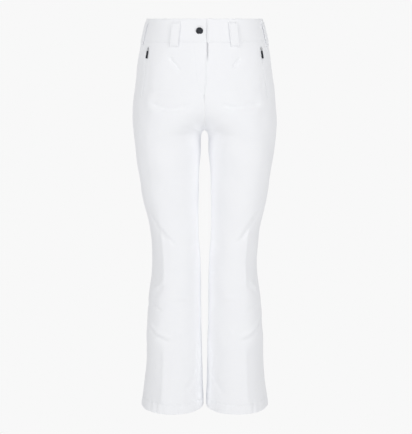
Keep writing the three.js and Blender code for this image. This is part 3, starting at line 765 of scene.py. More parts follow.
SHELL = fabric("shell_cloth", (.972, .975, .983), (.940, .946, .960), 900, kind="twill", bump=0.22, sheen=0.12)
THREAD = fabric("thread", (.92, .925, .935), (.84, .85, .865), 2500, rough=0.6, sheen=0.1, bump=0.2)
LINER = fabric("lining_cloth", (.84, .85, .87), (.77, .78, .81), 1400, rough=0.55, sheen=0.1, bump=0.18)
FACE = fabric("facing_cloth", (.80, .81, .83), (.72, .73, .76), 700, kind="knit", rough=0.85, sheen=0.45, bump=0.4, nap=0.6)
GAIT = fabric("gaiter_cloth", (.76, .77, .79), (.68, .69, .72), 1100, rough=0.6, sheen=0.1, bump=0.25)
ELAS = fabric("elastic_band", (.74, .75, .77), (.60, .61, .64), 620, kind="rib", rough=0.7, sheen=0.2, bump=0.9)
TAPE = fabric("zip_tape", (.80, .81, .83), (.68, .69, .72), 800, kind="rib", rough=0.75, sheen=0.15, bump=0.5)
COIL = plastic("zip_coil", (.74, .75, .775))
ENAMEL = plastic("white_enamel", (.84, .85, .87), .3)
GUN = metal("gunmetal", (.052, .055, .062))
STEEL = metal("snap_steel", (.30, .31, .33), 0.3)

ROOT = "pants"
AX0, AX1 = Vector((-.0190 - .004 * .966, -.1116, -.0890 - .004 * .228)), Vector((-.0190 + .010 * .966, -.1116, -.0890 + .010 * .228))


def flap(ob):
    """Cloth on the wearer's right front: bakes its transform into the mesh; the fly's fold line (AX0 to AX1) is read
    but the cloth is not bent along it.
    """
    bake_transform(ob)
    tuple(AX0)
    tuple(AX1)
    return ob


def soft(ob, slot, nodes=(), body=ROOT):
    if body == "fold":
        flap(ob)
    elif body:
        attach(ob, body)
    if nodes:
        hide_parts(*nodes)
    return ob


# ---------------------------------------------------------------- zip frames
def unit(v):
    v = np.asarray(v, float)
    return v / np.linalg.norm(v)


PFo, PFs, PFn = np.array([139.7595477, -63.2713311, -71.0]), unit([0.1513965, -0.0538850, -0.9870033]), unit([0.7308393, -0.6662051, 0.1484747])
_xo, _fr = raw(T_XOUT), raw(T_FRONT)


def front_pt(X, z):
    w, F = float(_xo(z)), float(_fr(z))
    y = -F * (1 - abs(X / w) ** P) ** (1 / P)
    return np.array([X, y, z]), unit([np.sign(X) * abs(X / w) ** (P - 1) / w, -(abs(y / F) ** (P - 1)) / F, 0])


FFo, _n = front_pt(-4.0, -66.0)
FFs = unit(front_pt(-4.0, -168.0)[0] - FFo)
FFn = unit(_n - FFs * (_n @ FFs))
BFo, _n = front_pt(-12.5, -29.3)
BFs = unit([0, 7.6 / 57, -1])
BFn = unit(_n - BFs * (_n @ BFs))


class Frame:
    def __init__(self, o, s, n, mirror=False):
        self.o, self.s, self.n = o, s, n
        self.b = unit(np.cross(n, s))
        self.m = np.array([-1.0, 1, 1]) if mirror else np.ones(3)

    def __call__(self, s, b, n):
        s, b, n = np.broadcast_arrays(np.asarray(s, float), np.asarray(b, float), np.asarray(n, float))
        return (self.o + s[..., None] * self.s + b[..., None] * self.b + n[..., None] * self.n) * self.m

    def dir(self, s, b, n):
        return (s * self.s + b * self.b + n * self.n) * self.m


FLY = Frame(FFo, FFs, FFn)
POCK = {1: Frame(PFo, PFs, PFn), -1: Frame(PFo, PFs, PFn, True)}


def strip(name, f, s0, s1, b0, b1, n0, th, mat, bow=0.0, step_=2.0):
    """A woven tape, lying flat in a frame, with rounded edges."""
    s = spaced(s0, s1, step_, np.array([0, .3, .9, 2]))
    b = spaced(b0, b1, 0.9, np.array([0, .12, .3, .6]))
    S, B = np.meshgrid(s, b, indexing="ij")
    d = np.minimum.reduce([S - s.min(), s.max() - S, B - b.min(), b.max() - B])
    h = th / 2
    r = np.sqrt(np.clip(1 - (1 - np.clip(d / h + .06, 0, 1)) ** 2, 0, 1))
    wav = bow * np.sin(S / 17.0) * (np.abs(B) / max(abs(b0), abs(b1)))
    Vo, Vi = f(S, B, n0 + wav + h * r), f(S, B, n0 + wav - h * r)
    Rn, Cn = S.shape
    N = Rn * Cn
    i, j = np.meshgrid(np.arange(Rn - 1), np.arange(Cn - 1), indexing="ij")
    a = i * Cn + j
    q = np.stack([a, a + Cn, a + Cn + 1, a + 1], -1).reshape(-1, 4)
    ed = np.concatenate([q[:, [0, 1]], q[:, [1, 2]], q[:, [2, 3]], q[:, [3, 0]]])
    key = np.sort(ed, 1)
    _, first, count = np.unique(key[:, 0].astype(np.int64) * (N + 1) + key[:, 1], return_index=True, return_counts=True)
    fe = ed[first[count == 1]]
    F = np.concatenate([q, q[:, ::-1] + N, np.stack([fe[:, 1], fe[:, 0], fe[:, 0] + N, fe[:, 1] + N], 1)])
    uv = np.stack([B / 1000, S / 1000], -1).reshape(-1, 2)
    return fix_out(build(name, np.concatenate([Vo.reshape(-1, 3), Vi.reshape(-1, 3)]), F, np.concatenate([uv, uv]), mat=mat))


def coil(name, f, s0, s1, sg, n0, mat):
    """One side of a coil zip: a nylon filament wound round a cord, its loops meeting in the middle."""
    pitch = 1.5
    turns = int((s1 - s0) / pitch)
    k = np.arange(turns * 10 + 1) / 10.0
    ph = 2 * np.pi * k
    s = s0 + pitch * k + (0.5 * pitch if sg > 0 else 0)
    b = 1.36 - 0.94 * np.cos(ph)
    V1, F1 = tube([f(s, sg * b, n0 + 0.42 * np.sin(ph))], 0.27, 6)
    V2, F2 = tube([f(np.arange(s0, s1 + .01, 3.0), sg * 1.45, n0 + 0 * np.arange(s0, s1 + .01, 3.0))], 0.34, 6)
    F = [np.concatenate([F1[0], F2[0] + len(V1)]), np.concatenate([F1[1], F2[1] + len(V1)])]
    return fix_out(build(name, np.concatenate([V1, V2]), F, mat=mat))


def plate(outline, z0, z1, bev, f, recess=None, hole=None):
    """A flat plate with rounded edges; the outline is in (s, b) and the plate lies between n = z0 and z1."""
    bm = bmesh.new()
    vs = [bm.verts.new((x, y, z0)) for x, y in outline]
    face = bm.faces.new(vs)
    r = bmesh.ops.extrude_face_region(bm, geom=[face])
    up = [g for g in r["geom"] if isinstance(g, bmesh.types.BMVert)]
    bmesh.ops.translate(bm, verts=up, vec=(0, 0, z1 - z0))
    bmesh.ops.recalc_face_normals(bm, faces=bm.faces)
    if recess:
        tops = [x for x in bm.faces if len(x.verts) == len(outline) and x.calc_center_median().z > (z0 + z1) / 2]
        for top in tops:
            bmesh.ops.inset_region(bm, faces=[top], thickness=recess[0], depth=0)
            bmesh.ops.inset_region(bm, faces=[top], thickness=recess[1] * 0.8, depth=-recess[1])
    sharp = [e for e in bm.edges if len(e.link_faces) == 2 and e.calc_face_angle(0) > 0.9]
    if bev:
        bmesh.ops.bevel(bm, geom=sharp, offset=bev, segments=3, profile=0.6, affect="EDGES", clamp_overlap=True)
    bmesh.ops.recalc_face_normals(bm, faces=bm.faces)
    V = np.array([v.co[:] for v in bm.verts])
    F = [[v.index for v in fc.verts] for fc in bm.faces]
    bm.free()
    return f(V[:, 0], V[:, 1], V[:, 2]), F


def rounded(s0, s1, hw0, hw1, r, n=6):
    """A rounded outline from s0 (half width hw0) to s1 (half width hw1)."""
    pts = []
    for cx, cy, a0 in ((s1 - r, hw1 - r, 0), (s0 + r, hw0 - r, 90), (s0 + r, -hw0 + r, 180), (s1 - r, -hw1 + r, 270)):
        for k in range(n + 1):
            a = math.radians(a0 + 90 * k / n)
            pts.append((cx + r * math.cos(a), cy + r * math.sin(a)))
    return pts


def merge(name, parts, mat):
    """Joins (vertices, faces) lists into one object; faces of any length."""
    me = bpy.data.meshes.new(name)
    V, F, base = [], [], 0
    for v, f in parts:
        V.append(np.asarray(v).reshape(-1, 3))
        for g in f:
            g = np.asarray(g)
            if g.ndim == 2:
                F += [[int(x) + base for x in row] for row in g]
            else:
                F.append([int(x) + base for x in g])
        base += len(V[-1])
    V = np.concatenate(V) / 1000.0
    me.from_pydata(V.tolist(), [], F)
    me.validate()
    me.update()
    bm = bmesh.new()
    bm.from_mesh(me)
    bmesh.ops.recalc_face_normals(bm, faces=bm.faces)
    bm.to_mesh(me)
    bm.free()
    for p in me.polygons:
        p.use_smooth = True
    me.set_sharp_from_angle(angle=math.radians(38))
    ob = bpy.data.objects.new(name, me)
    bpy.context.scene.collection.objects.link(ob)
    me.materials.append(mat)
    return ob


def slider_obj(name, f, n0, arch, mat=None):
    out = rounded(-4.5, 4.5, 3.2, 2.3, 1.1)
    parts = [plate(out, n0 + .9, n0 + 1.55, .2, f, recess=(.7, .12)), plate(out, n0 - 1.55, n0 - .9, .2, f)]
    parts.append(plate(rounded(-4.0, .6, .13, .13, .1), n0 - 1.0, n0 + 1.0, 0, f))
    # side rails of the front plate
    for sg in (-1, 1):
        parts.append(tube([f(np.linspace(-3.4, 3.6, 9), sg * np.linspace(2.95, 2.15, 9), np.full(9, n0 + 1.5))], .22, 8))
    # arch that the link runs through
    top, foot = arch + .3, n0 + 1.3
    a = np.linspace(0, np.pi, 13)
    ps = np.concatenate([[-3.1], -3.1 + .9 * (1 - np.cos(a[:7] / 1)) * .5, [0], 3.1 - .9 * (1 - np.cos(a[:7][::-1])) * .5, [3.1]])
    pn = np.concatenate([[foot], foot + (top - foot) * np.linspace(.55, 1, 7), [top + .05], foot + (top - foot) * np.linspace(1, .55, 7), [foot]])
    parts.append(tube([f(ps, np.full(len(ps), 0.0), pn)], .42, 10))
    return merge(name, parts, mat or GUN)


def pull_obj(name, f, axis, link, tab, half_w, th, wire):
    k = np.linspace(0, 2 * np.pi, 48, endpoint=False)
    L = link + 2.2
    cs, cb = L / 2 - .0, 2.1
    e = 3.2
    ls = cs + (cs + .0) * spow(np.cos(k), 2 / e)
    lb = cb * spow(np.sin(k), 2 / e)
    parts = [tube([f(ls, lb, np.full(48, axis))], wire, 10, closed=True)]
    out = rounded(link, link + tab, half_w * .86, half_w, min(1.6, half_w * .6), 8)
    parts.append(plate(out, axis - th / 2, axis + th / 2, min(.45, th * .28), f, recess=(.9, .22)))
    # raised grip ribs
    for q in np.linspace(.38, .82, 5):
        s = link + tab * q
        parts.append(tube([f(np.full(5, s), np.linspace(-half_w * .52, half_w * .52, 5), np.full(5, axis + th / 2 - .16))], .24, 8))
    return merge(name, parts, GUN)

# ---------------------------------------------------------------- the shell
G = 0.10


def side_arc(z):
    return arc(0.5, z)


def fly_right(z):
    """x of the flap's free edge."""
    return 5.0 * sm(-184, -146, z) - 0.35 * (1 - sm(-184, -146, z))


def fly_left(z):
    """x of the left front's edge, tucked under the flap."""
    return fly_right(z) - (3.6 - 1.7 * sm(-138, -160, z)) * sm(-186, -166, z) + 0.25 * (1 - sm(-186, -166, z))


def flat_of(W, rows, off=0.0):
    """Flat width, length and area of a piece, in metres, from its undisplaced surface."""
    rows = np.asarray(rows, float)
    width = W[:, -1] - W[:, 0]
    mid = place((W[:, 0] + W[:, -1]) / 2, rows, off, 0)
    q = np.linalg.norm(np.diff(mid, axis=0), axis=1)
    area = float(np.sum(q * (width[1:] + width[:-1]) / 2)) / 1e6
    w, l = round(float(width.max()) / 1000 + 5e-5, 4), round(float(q.sum()) / 1000 + 5e-5, 4)
    return (w, l), round(min(area, w * l * .9999), 6)


def sheet(ob, W, rows, off=0.0):
    flat, area = flat_of(W, rows, off)
    return ob


def height_rows(z0, z1, marks=(), base=3.2, fine=()):
    """Heights from z0 down to z1, close at both ends and around marks."""
    z = list(spaced(z0, z1, base))
    for m in marks:
        z = [v for v in z if abs(v - m) > 4.6]
        z += [m + d for d in (-4.2, -2.7, -1.7, -1.0, -.5, 0.0, .5, 1.0, 1.7, 2.7, 4.2)]
    for a, b in fine:
        extra = [v for v in np.arange(b, a, 1.6)]
        z = [v for v in z if not (b - .8 < v < a + .8)] + extra
    return np.array(sorted(set(np.round(z, 4)), reverse=True))


def pocket_t(z):
    """Where the pocket zip's middle plane meets the cloth."""
    z = np.clip(np.asarray(z, float), -196, 0)
    f = POCK[1]
    ts = np.linspace(.2, .45, 251)
    x, y, _, _ = half(ts[None, :], z[:, None])
    p = np.stack([x, y, np.broadcast_to(z[:, None], x.shape)], -1) - f.o
    b = p @ f.b
    return np.array([np.interp(0, r, ts) if r[-1] > r[0] else np.interp(0, r[::-1], ts[::-1]) for r in b])


SLIT0, SLIT1, SLIT_W = -67.6, -193.4, 0.5
rows_f = height_rows(-57.25, HEM, marks=(SLIT0, SLIT1), fine=((-70, -132), (-262, -300), (-1000, -1009)))
TUCK = np.array([0, .3, .8, 1.6, 2.4, 2.9, 3.2, 3.45, 3.7, 3.95, 4.3, 4.8, 5.4, 6.0, 6.6, 7.4, 8.6, 10.4])


def front_panel(side):
    z = rows_f
    s5, sp = side_arc(z) - G, arc(pocket_t(z), z)
    if side > 0:
        a0 = np.where(z > -186, arc_of_x_v(fly_left(z), z), G)
    else:
        a0 = np.where(z > -186, -arc_of_x_v(fly_right(z), z), G)
    A = columns(a0, sp - SLIT_W, 50, e0=TUCK if side > 0 else None)
    B = columns(sp + SLIT_W, s5, 17)
    # outside the slit's height its two lips close to a narrow bridge
    W = np.concatenate([A, B], 1)
    nA = A.shape[1]
    keep = np.ones((len(z) - 1, W.shape[1] - 1), bool)
    mid = (z[1:] + z[:-1]) / 2
    keep[:, nA - 1] = ~((mid < SLIT0) & (mid > SLIT1))
    Z = np.repeat(z[:, None], W.shape[1], 1)
    dx = np.maximum(np.abs(W - sp[:, None]) - SLIT_W, 0)
    dz = np.maximum(np.maximum(Z - SLIT0, SLIT1 - Z), 0)
    hole = np.hypot(dx, dz)
    # the front lip of the slit stands over the back one
    lips = np.where(W < sp[:, None], .3, -.7) * np.exp(-(hole / 2.6) ** 2) * (hole < 12)
    # a shallow frame pressed in by the stitching round the slit
    extra = -0.25 * np.exp(-((hole - 4.6) / 1.1) ** 2) + lips
    fly = (Z > -190)
    edge = W - W[:, :1]
    if side > 0:
        e = W - arc_of_x_v(fly_right(z), z)[:, None]
        under = sm(.14, -.5, e) * sm(-184, -168, Z)
        mouth = sm(-112, -84, Z) * sm(-57, -59, Z)    # the mouth of the fly stands a little open at the top
        extra = extra - 2.15 * under - mouth * (3.6 * sm(4.6, 2.4, e))
        W2 = W
        dips = (0.0, 0.3, 0.1, 0.0)
    else:
        extra = extra + (0.0 + 1.1 * sm(-104, -80, Z) * sm(-57, -62, Z)) * np.exp(-(edge / 6.0) ** 2) * sm(-180, -160, Z)
        W2 = -W[:, ::-1]
        keep, hole, extra = keep[:, ::-1], hole[:, ::-1], extra[:, ::-1]
        dips = (0.3, 0.0, 0.1, 0.0)
    Z2 = np.repeat(z[:, None], W.shape[1], 1)
    e0 = (W2 - W2[:, :1]) if side > 0 else (W2[:, -1:] - W2)
    extra = extra - 0.6 * np.exp(-(e0 / 2.0) ** 2) * sm(-186, -205, Z2) * sm(-262, -236, Z2)
    extra = extra + 0.3 * np.exp(-(e0 / 2.5) ** 2) * sm(-246, -262, Z2) * sm(-284, -280, Z2)
    ob = cloth(f"shell_front_{'left' if side > 0 else 'right'}", z, W2, 0.0, 1.8, SHELL, keep=keep, dips=dips, extra=extra, hole_d=hole,
               ends=(1, 1, 0, 1) if side > 0 else (1, 0, 0, 1))
    sheet_args.append((ob, W2, z))
    return ob, sp


def arc_of_x_v(X, z):
    X, z = np.broadcast_arrays(np.asarray(X, float), np.asarray(z, float))
    return np.sign(X) * arc(t_of_x(np.abs(X), z), z)


sheet_args = []
fl, sp_rows = front_panel(1)
fr, _ = front_panel(-1)
soft(fl, "shell", ["front_panel_left"])
soft(fr, "shell", ["front_panel_right", "fly_placket"], "fold")

rows_b = height_rows(-57.25, HEM, fine=((-262, -300), (-1000, -1009)))
for side, nm in ((1, "left"), (-1, "right")):
    A = columns(side_arc(rows_b) + G, total(rows_b) - G, 72)
    W = A if side > 0 else -A[:, ::-1]
    ob = cloth(f"shell_back_{nm}", rows_b, W, 0.0, 1.8, SHELL, dips=(0.3, 0.3, 0.1, 0.0), ends=(1, 1, 0, 1))
    sheet_args.append((ob, W, rows_b))
    soft(ob, "shell", [f"back_panel_{nm}"])
for ob, W, z in sheet_args:
    sheet(ob, W, z)

# ---------------------------------------------------------------- waistband
rows_w = spaced(0.0, -57.15, 2.6)
BO = 0.45


def band_edge(w, z, sgn):
    return W


W = columns(arc_of_x_v(5.7 + 0 * rows_w, rows_w), side_arc(rows_w) - .12, 60)
bl = cloth("band_left", rows_w, W, BO, 2.2, SHELL, dips=(0.2, .3, .1, .15), ends=(1, 1, 1, 0))
sheet(bl, W, rows_w)
soft(bl, "shell", ["waistband_front_left"])
W = columns(-(side_arc(rows_w) - .12), arc_of_x_v(5.0 + 0 * rows_w, rows_w), 62)
br = cloth("band_right", rows_w, W, BO, 2.2, SHELL, dips=(.3, 0.0, .1, .15), ends=(1, 1, 1, 0))
sheet(br, W, rows_w)
soft(br, "shell", ["waistband_front_right", "waistband_tab"], "fold")
W = columns(side_arc(rows_w) + .12, 2 * total(rows_w) - side_arc(rows_w) - .12, 130)
bb = cloth("band_back", rows_w, W, BO, 2.2, SHELL, dips=(.3, .3, .1, .15), ends=(1, 1, 1, 0))
sheet(bb, W, rows_w)
soft(bb, "shell", ["waistband_back"])

rz = spaced(-1.5, -58.0, 4)
W = columns(arc_of_x_v(12 + 0 * rz, rz), 2 * total(rz) + arc_of_x_v(-50 + 0 * rz, rz), 180)
fac = cloth("band_facing", rz, W, -3.9, 1.0, FACE, dips=(0, 0, 0, 0))
sheet(fac, W, rz, off=-4)
soft(fac, "facing", ["waistband_facing"])

rz = spaced(-1.5, -55.0, 3)
W = columns(arc_of_x_v(-32 + 0 * rz, rz), arc_of_x_v(24 + 0 * rz, rz), 16)
und = cloth("band_underlap", rz, W, -5.6, 1.8, SHELL, dips=(0, 0, 0, 0))
sheet(und, W, rz, off=-5)
soft(und, "shell", ["waistband_underlap"])

rz = spaced(-59.0, -187.0, 4)
W = columns(arc_of_x_v(-24 + 0 * rz, rz), arc_of_x_v(22 + 0 * rz, rz), 12)
gd = cloth("fly_guard_cloth", rz, W, -10.0, 1.0, LINER, dips=(0, 0, 0, 0))
sheet(gd, W, rz, off=-10)
soft(gd, "lining", ["fly_guard"])

# ---------------------------------------------------------------- lining, bags
rz = spaced(-60.0, -996.0, 6.0)


def lining(name, node, W, side):
    Z = np.repeat(rz[:, None], W.shape[1], 1)
    x = W / 37.0
    extra = 0.5 * np.sin(x * 2.1 + Z / 47.0) + 0.4 * np.sin(x * 1.1 - Z / 31.0 + 1.3)
    ob = cloth(name, rz, W, -9.9, 0.9, LINER, dips=(.3, .3, 0, 0), folds=0.6, extra=extra)
    sheet(ob, W, rz, off=-10)
    soft(ob, "lining", [node])


lo = sm(-204, -184, rz)
for side, nm, X in ((1, "left", 33.0), (-1, "right", 46.0)):
    A = columns(lo * arc_of_x_v(X + 0 * rz, np.maximum(rz, -205)) + (1 - lo) * G, side_arc(rz) - G, 34)
    lining(f"lining_leg_front_{nm}", f"lining_front_{nm}", A if side > 0 else -A[:, ::-1], side)
    A = columns(side_arc(rz) + G, total(rz) - G, 36)
    lining(f"lining_leg_back_{nm}", f"lining_back_{nm}", A if side > 0 else -A[:, ::-1], side)


def t_of_phi(phi, z):
    big = section(z)[4]
    return (phi + big) / (2 * big)


rp = spaced(-62.0, -262.0, 5.0)
for side, nm in ((1, "left"), (-1, "right")):
    A = columns(arc(t_of_phi(-1.02 + 0.18 * sm(-180, -262, rp), rp), rp), arc(t_of_phi(-0.10 - 0.2 * sm(-200, -262, rp), rp), rp), 22)
    W = A if side > 0 else -A[:, ::-1]
    ob = cloth(f"pocket_sack_{nm}", rp, W, -6.95, 0.75, LINER, dips=(0, 0, 0, 0), folds=0.6)
    sheet(ob, W, rp, off=-7)
    soft(ob, "bag", [f"pocket_bag_{nm}"])

# ---------------------------------------------------------------- hems and gaiters
NR = 220


def ring(rows, side, n=NR):
    L = total(rows)
    k = (np.arange(n) + 0.5) / n
    return side * L[:, None] * (k if side > 0 else k[::-1])[None, :]


rh = spaced(-1000.0, -1029.4, 3)
for side, nm in ((1, "left"), (-1, "right")):
    W = ring(rh, side)
    ob = cloth(f"hem_inside_{nm}", rh, W, -2.3, 1.0, SHELL, dips=(0, 0, 0, 0), loop=True)
    flat = (round(float(total(-1015.0)) / 1000, 4), .0294)
    soft(ob, "facing", [f"hem_facing_{nm}"])


def g_in(z):
    return -14 - 4 * sm(-760, -860, z) + 2 * sm(-960, -1008, z)


rg = np.concatenate([spaced(-765.0, -960.0, 5)[:-1], np.arange(-960, -1008, -1.6), spaced(-1008.0, -1012.0, 1.2, np.array([0, .3]))])
rg = np.array(sorted(set(np.round(rg, 3)), reverse=True))
re_ = spaced(-988.0, -1009.0, .9)


def pleats(k, z, ph):
    f = np.sin(2 * np.pi * 29 * k + ph) + .6 * np.sin(2 * np.pi * 41 * k + 2.1 * ph) + .5 * np.sin(2 * np.pi * 17 * k - ph)
    return np.abs(f) * 1.15


def gathered(side, n):
    """Offsets of a sleeve that is cut wider than its two ends, from a cloth simulation of one layer of it."""
    W = ring(rg, side, n)
    Z = np.repeat(rg[:, None], n, 1)
    kk = np.abs(W) / total(rg)[:, None]
    a = place(W, Z, g_in(Z) + .25 * pleats(kk, Z, 1.3 * side) * sm(-770, -800, Z), 0)
    flat_ = place(W, Z, g_in(Z), 0)
    nrm = place(W, Z, g_in(Z) + 1.0, 0) - flat_
    Rn = len(rg)
    i, j = np.meshgrid(np.arange(Rn - 1), np.arange(n), indexing="ij")
    j2 = (j + 1) % n
    F = np.stack([i * n + j, (i + 1) * n + j, (i + 1) * n + j2, i * n + j2], -1).reshape(-1, 4)
    ob = build("sleeve_trial", a.reshape(-1, 3), F)
    pin = ob.vertex_groups.new(name="pin")
    w = np.clip(sm(-778, -768, Z) + sm(-984, -992, Z), 0, 1).ravel()
    pin.add([int(v) for v in np.where(w > .5)[0]], 1.0, "REPLACE")
    md = ob.modifiers.new("cloth", "CLOTH")
    cs = md.settings
    cs.quality, cs.mass, cs.air_damping = 5, 0.12, 2.0
    cs.tension_stiffness, cs.compression_stiffness, cs.shear_stiffness, cs.bending_stiffness = 20, 20, 6, 0.06
    cs.vertex_group_mass = "pin"
    cs.shrink_min = -0.07
    md.collision_settings.use_collision = False
    sc = bpy.context.scene
    md.point_cache.frame_start, md.point_cache.frame_end = 1, 22
    for fr in range(1, 23):
        sc.frame_set(fr)
    ev = ob.evaluated_get(bpy.context.evaluated_depsgraph_get())
    co = np.empty(len(ob.data.vertices) * 3, np.float32)
    ev.data.vertices.foreach_get("co", co)
    d = ((co.reshape(a.shape) * 1000.0 - flat_) * nrm).sum(-1)
    me = ob.data
    bpy.data.objects.remove(ob, do_unlink=True)
    bpy.data.meshes.remove(me)
    sc.frame_set(1)
    print("sleeve offsets", float(d.min()), float(d.max()), float(np.abs(d).mean()))
    return 5.0 * np.tanh(d / 5.0)


for side, nm in ((1, "left"), (-1, "right")):
    n = 420
    W = ring(rg, side, n)
    Z = np.repeat(rg[:, None], n, 1)
    kk = np.abs(W) / total(rg)[:, None]
    puff = (sm(-880, -975, Z) - .55 * np.exp(-((Z + 999) / 8.0) ** 2)) * pleats(kk, Z, 1.3 * side)
    wave = 1.1 * np.sin(2 * np.pi * 5 * kk + Z / 40 + side) * sm(-770, -830, Z) * sm(-1000, -960, Z)
    d = gathered(side, n // 2)
    shape = np.empty(W.shape)
    shape[:, ::2] = d
    shape[:, 1::2] = (d + np.roll(d, -1, 1)) / 2
    shape = shape + .35 * puff
    ob = cloth(f"gaiter_sleeve_{nm}", rg, W, g_in(Z), 0.9, GAIT, dips=(0, 0, 0, 0), loop=True, folds=0, extra=shape)
    flat = (round(float(total(-900.0)) / 1000, 4), .247)
    soft(ob, "gaiter", [f"gaiter_{nm}"])
    W = ring(re_, side, 300)
    Z = np.repeat(re_[:, None], 300, 1)
    kk = np.abs(W) / total(re_)[:, None]
    ribs = .10 * np.sin(2 * np.pi * Z / 3.0) + .12 * np.sin(2 * np.pi * 75 * kk)
    ob = cloth(f"gaiter_elastic_band_{nm}", re_, W, g_in(Z) - 1.9, 1.1, ELAS, dips=(0, 0, 0, 0), loop=True, folds=0, extra=ribs)
    flat = (round(float(total(-1000.0)) / 1000 * .8, 4), .021)
    soft(ob, "elastic", [f"gaiter_elastic_{nm}"])

# ---------------------------------------------------------------- belt loops
# (height, offset of the strap's middle)
LOOP_PATH = np.array([(-7.4, 1.45), (-8.4, 1.5), (-9.6, 1.7), (-11.0, 2.1), (-13.0, 2.6), (-16.0, 3.0), (-24.0, 3.3), (-36.0, 3.4),
                      (-50.0, 3.4), (-57.0, 3.2), (-60.5, 2.7), (-62.8, 2.0), (-64.6, 1.45), (-66.4, 1.2), (-68.0, 1.15)])


def loop_piece(name, node, wc, width=22.0, rise=1.0):
    q = np.concatenate([[0], np.cumsum(np.hypot(*np.diff(LOOP_PATH, axis=0).T))])
    s = spaced(0, q[-1], 1.1, np.array([0, .25, .6, 1.1]))
    z0, n0 = np.interp(s, q, LOOP_PATH[:, 0]), np.interp(s, q, LOOP_PATH[:, 1])
    n0 = 1.15 + (n0 - 1.15) * rise + .3 * (1 - rise)
    for _ in range(3):
        z0[1:-1] = (z0[:-2] + 2 * z0[1:-1] + z0[2:]) / 4
        n0[1:-1] = (n0[:-2] + 2 * n0[1:-1] + n0[2:]) / 4
    dz, dn = np.gradient(z0), np.gradient(n0)
    l = np.hypot(dz, dn)
    Nz, Nn = dn / l, -dz / l            # normal of the path, outward
    b = spaced(-width / 2, width / 2, 1.3, np.array([0, .15, .4, .8, 1.4, 2.4]))
    S, B = np.meshgrid(s, b, indexing="ij")
    ends = np.minimum(S, q[-1] - S)
    h = 0.72 + 0.42 * sm(7.6, 6.4, ends)
    sides = np.minimum(B + width / 2, width / 2 - B)
    d = np.minimum(sides, ends)
    r = np.sqrt(np.clip(1 - (1 - np.clip(d / h + .05, 0, 1)) ** 2, 0, 1))
    # the strap is folded lengthways: a soft swell at each edge, pressed flat along the stitching
    crown = .16 * np.exp(-((sides - 1.2) / .8) ** 2) - .18 * np.exp(-((sides - 2.6) / .55) ** 2) + .10 * np.cos(B / width * np.pi)
    crown = crown - .3 * np.exp(-((ends - 4.6) / 2.0) ** 2)
    out = []
    for sg in (1, -1):
        hh = h * r + (crown if sg > 0 else 0)
        zz = z0[:, None] + Nz[:, None] * hh * sg
        nn = n0[:, None] + Nn[:, None] * hh * sg
        out.append(place(wc(zz) + B, zz, nn))
    Rn, Cn = S.shape
    N = Rn * Cn
    i, j = np.meshgrid(np.arange(Rn - 1), np.arange(Cn - 1), indexing="ij")
    a = i * Cn + j
    f = np.stack([a, a + Cn, a + Cn + 1, a + 1], -1).reshape(-1, 4)
    ed = np.concatenate([f[:, [0, 1]], f[:, [1, 2]], f[:, [2, 3]], f[:, [3, 0]]])
    key = np.sort(ed, 1)
    _, first, count = np.unique(key[:, 0].astype(np.int64) * (N + 1) + key[:, 1], return_index=True, return_counts=True)
    fe = ed[first[count == 1]]
    F = np.concatenate([f, f[:, ::-1] + N, np.stack([fe[:, 1], fe[:, 0], fe[:, 0] + N, fe[:, 1] + N], 1)])
    uv = np.stack([B / 1000, -S / 1000], -1).reshape(-1, 2)
    ob = fix_out(build(name, np.concatenate([out[0].reshape(-1, 3), out[1].reshape(-1, 3)]), F, np.concatenate([uv, uv]), mat=SHELL))
    soft(ob, "shell", [node])
    # stitching: two lines down the strap and a bar tack at each end
    runs = []
    for bb in (-width / 2 + 2.6, width / 2 - 2.6):
        k = (s > 8) & (s < q[-1] - 8)
        zz, nn = z0[k] + Nz[k] * .62, n0[k] + Nn[k] * .62
        p = place(wc(zz) + bb, zz, nn)
        p2 = place(wc(zz) + bb, zz, nn + 3)
        runs.append((p, p2 - p))
    tk = []
    for s_ in (3.6, q[-1] - 3.6):
        for bb in np.arange(-width / 2 + 3.0, width / 2 - 2.9, .62):
            kz, kn = np.interp(s_, s, z0), np.interp(s_, s, n0)
            az, an = np.interp(s_, s, Nz), np.interp(s_, s, Nn)
            tz, tn = -an, az
            ss = np.array([-1.0, 0, 1.0])
            zz, nn = kz + az * .98 + tz * ss, kn + an * .98 + tn * ss
            w_ = wc(zz) + bb + ss * .12 * (-1) ** int(round(bb / .62))
            p = place(w_, zz, nn)
            tk.append((p, place(w_, zz, nn + 3) - p))
    st = stitches(name + "_thread", runs, THREAD, pitch=2.8)
    soft(st, "shell")
    st = stitches(name + "_tacks", tk, THREAD, pitch=1.99, gap=0.0, r=.24, lift=.05)
    soft(st, "shell")


def wc_of_x(x):
    def f(z):
        z = np.asarray(z, float)
        return np.sign(x) * arc(t_of_x(abs(x), z), z)
    return f


def wc_side(side):
    def f(z):
        z = np.asarray(z, float)
        return side * arc(t_of_phi(-0.25, z), z)
    return f


_tl = (-math.acos((72.5 / 157) ** (P / 2)) + math.pi / 2) / math.pi
for side, nm in ((1, "left"), (-1, "right")):
    loop_piece(f"loop_front_{nm}", f"belt_loop_front_{nm}", (lambda sd: lambda z: sd * arc(_tl, np.asarray(z, float)))(side))
    loop_piece(f"loop_side_{nm}", f"belt_loop_side_{nm}", wc_side(side), rise=.55)
loop_piece("loop_back", "belt_loop_back", lambda z: total(np.asarray(z, float)))

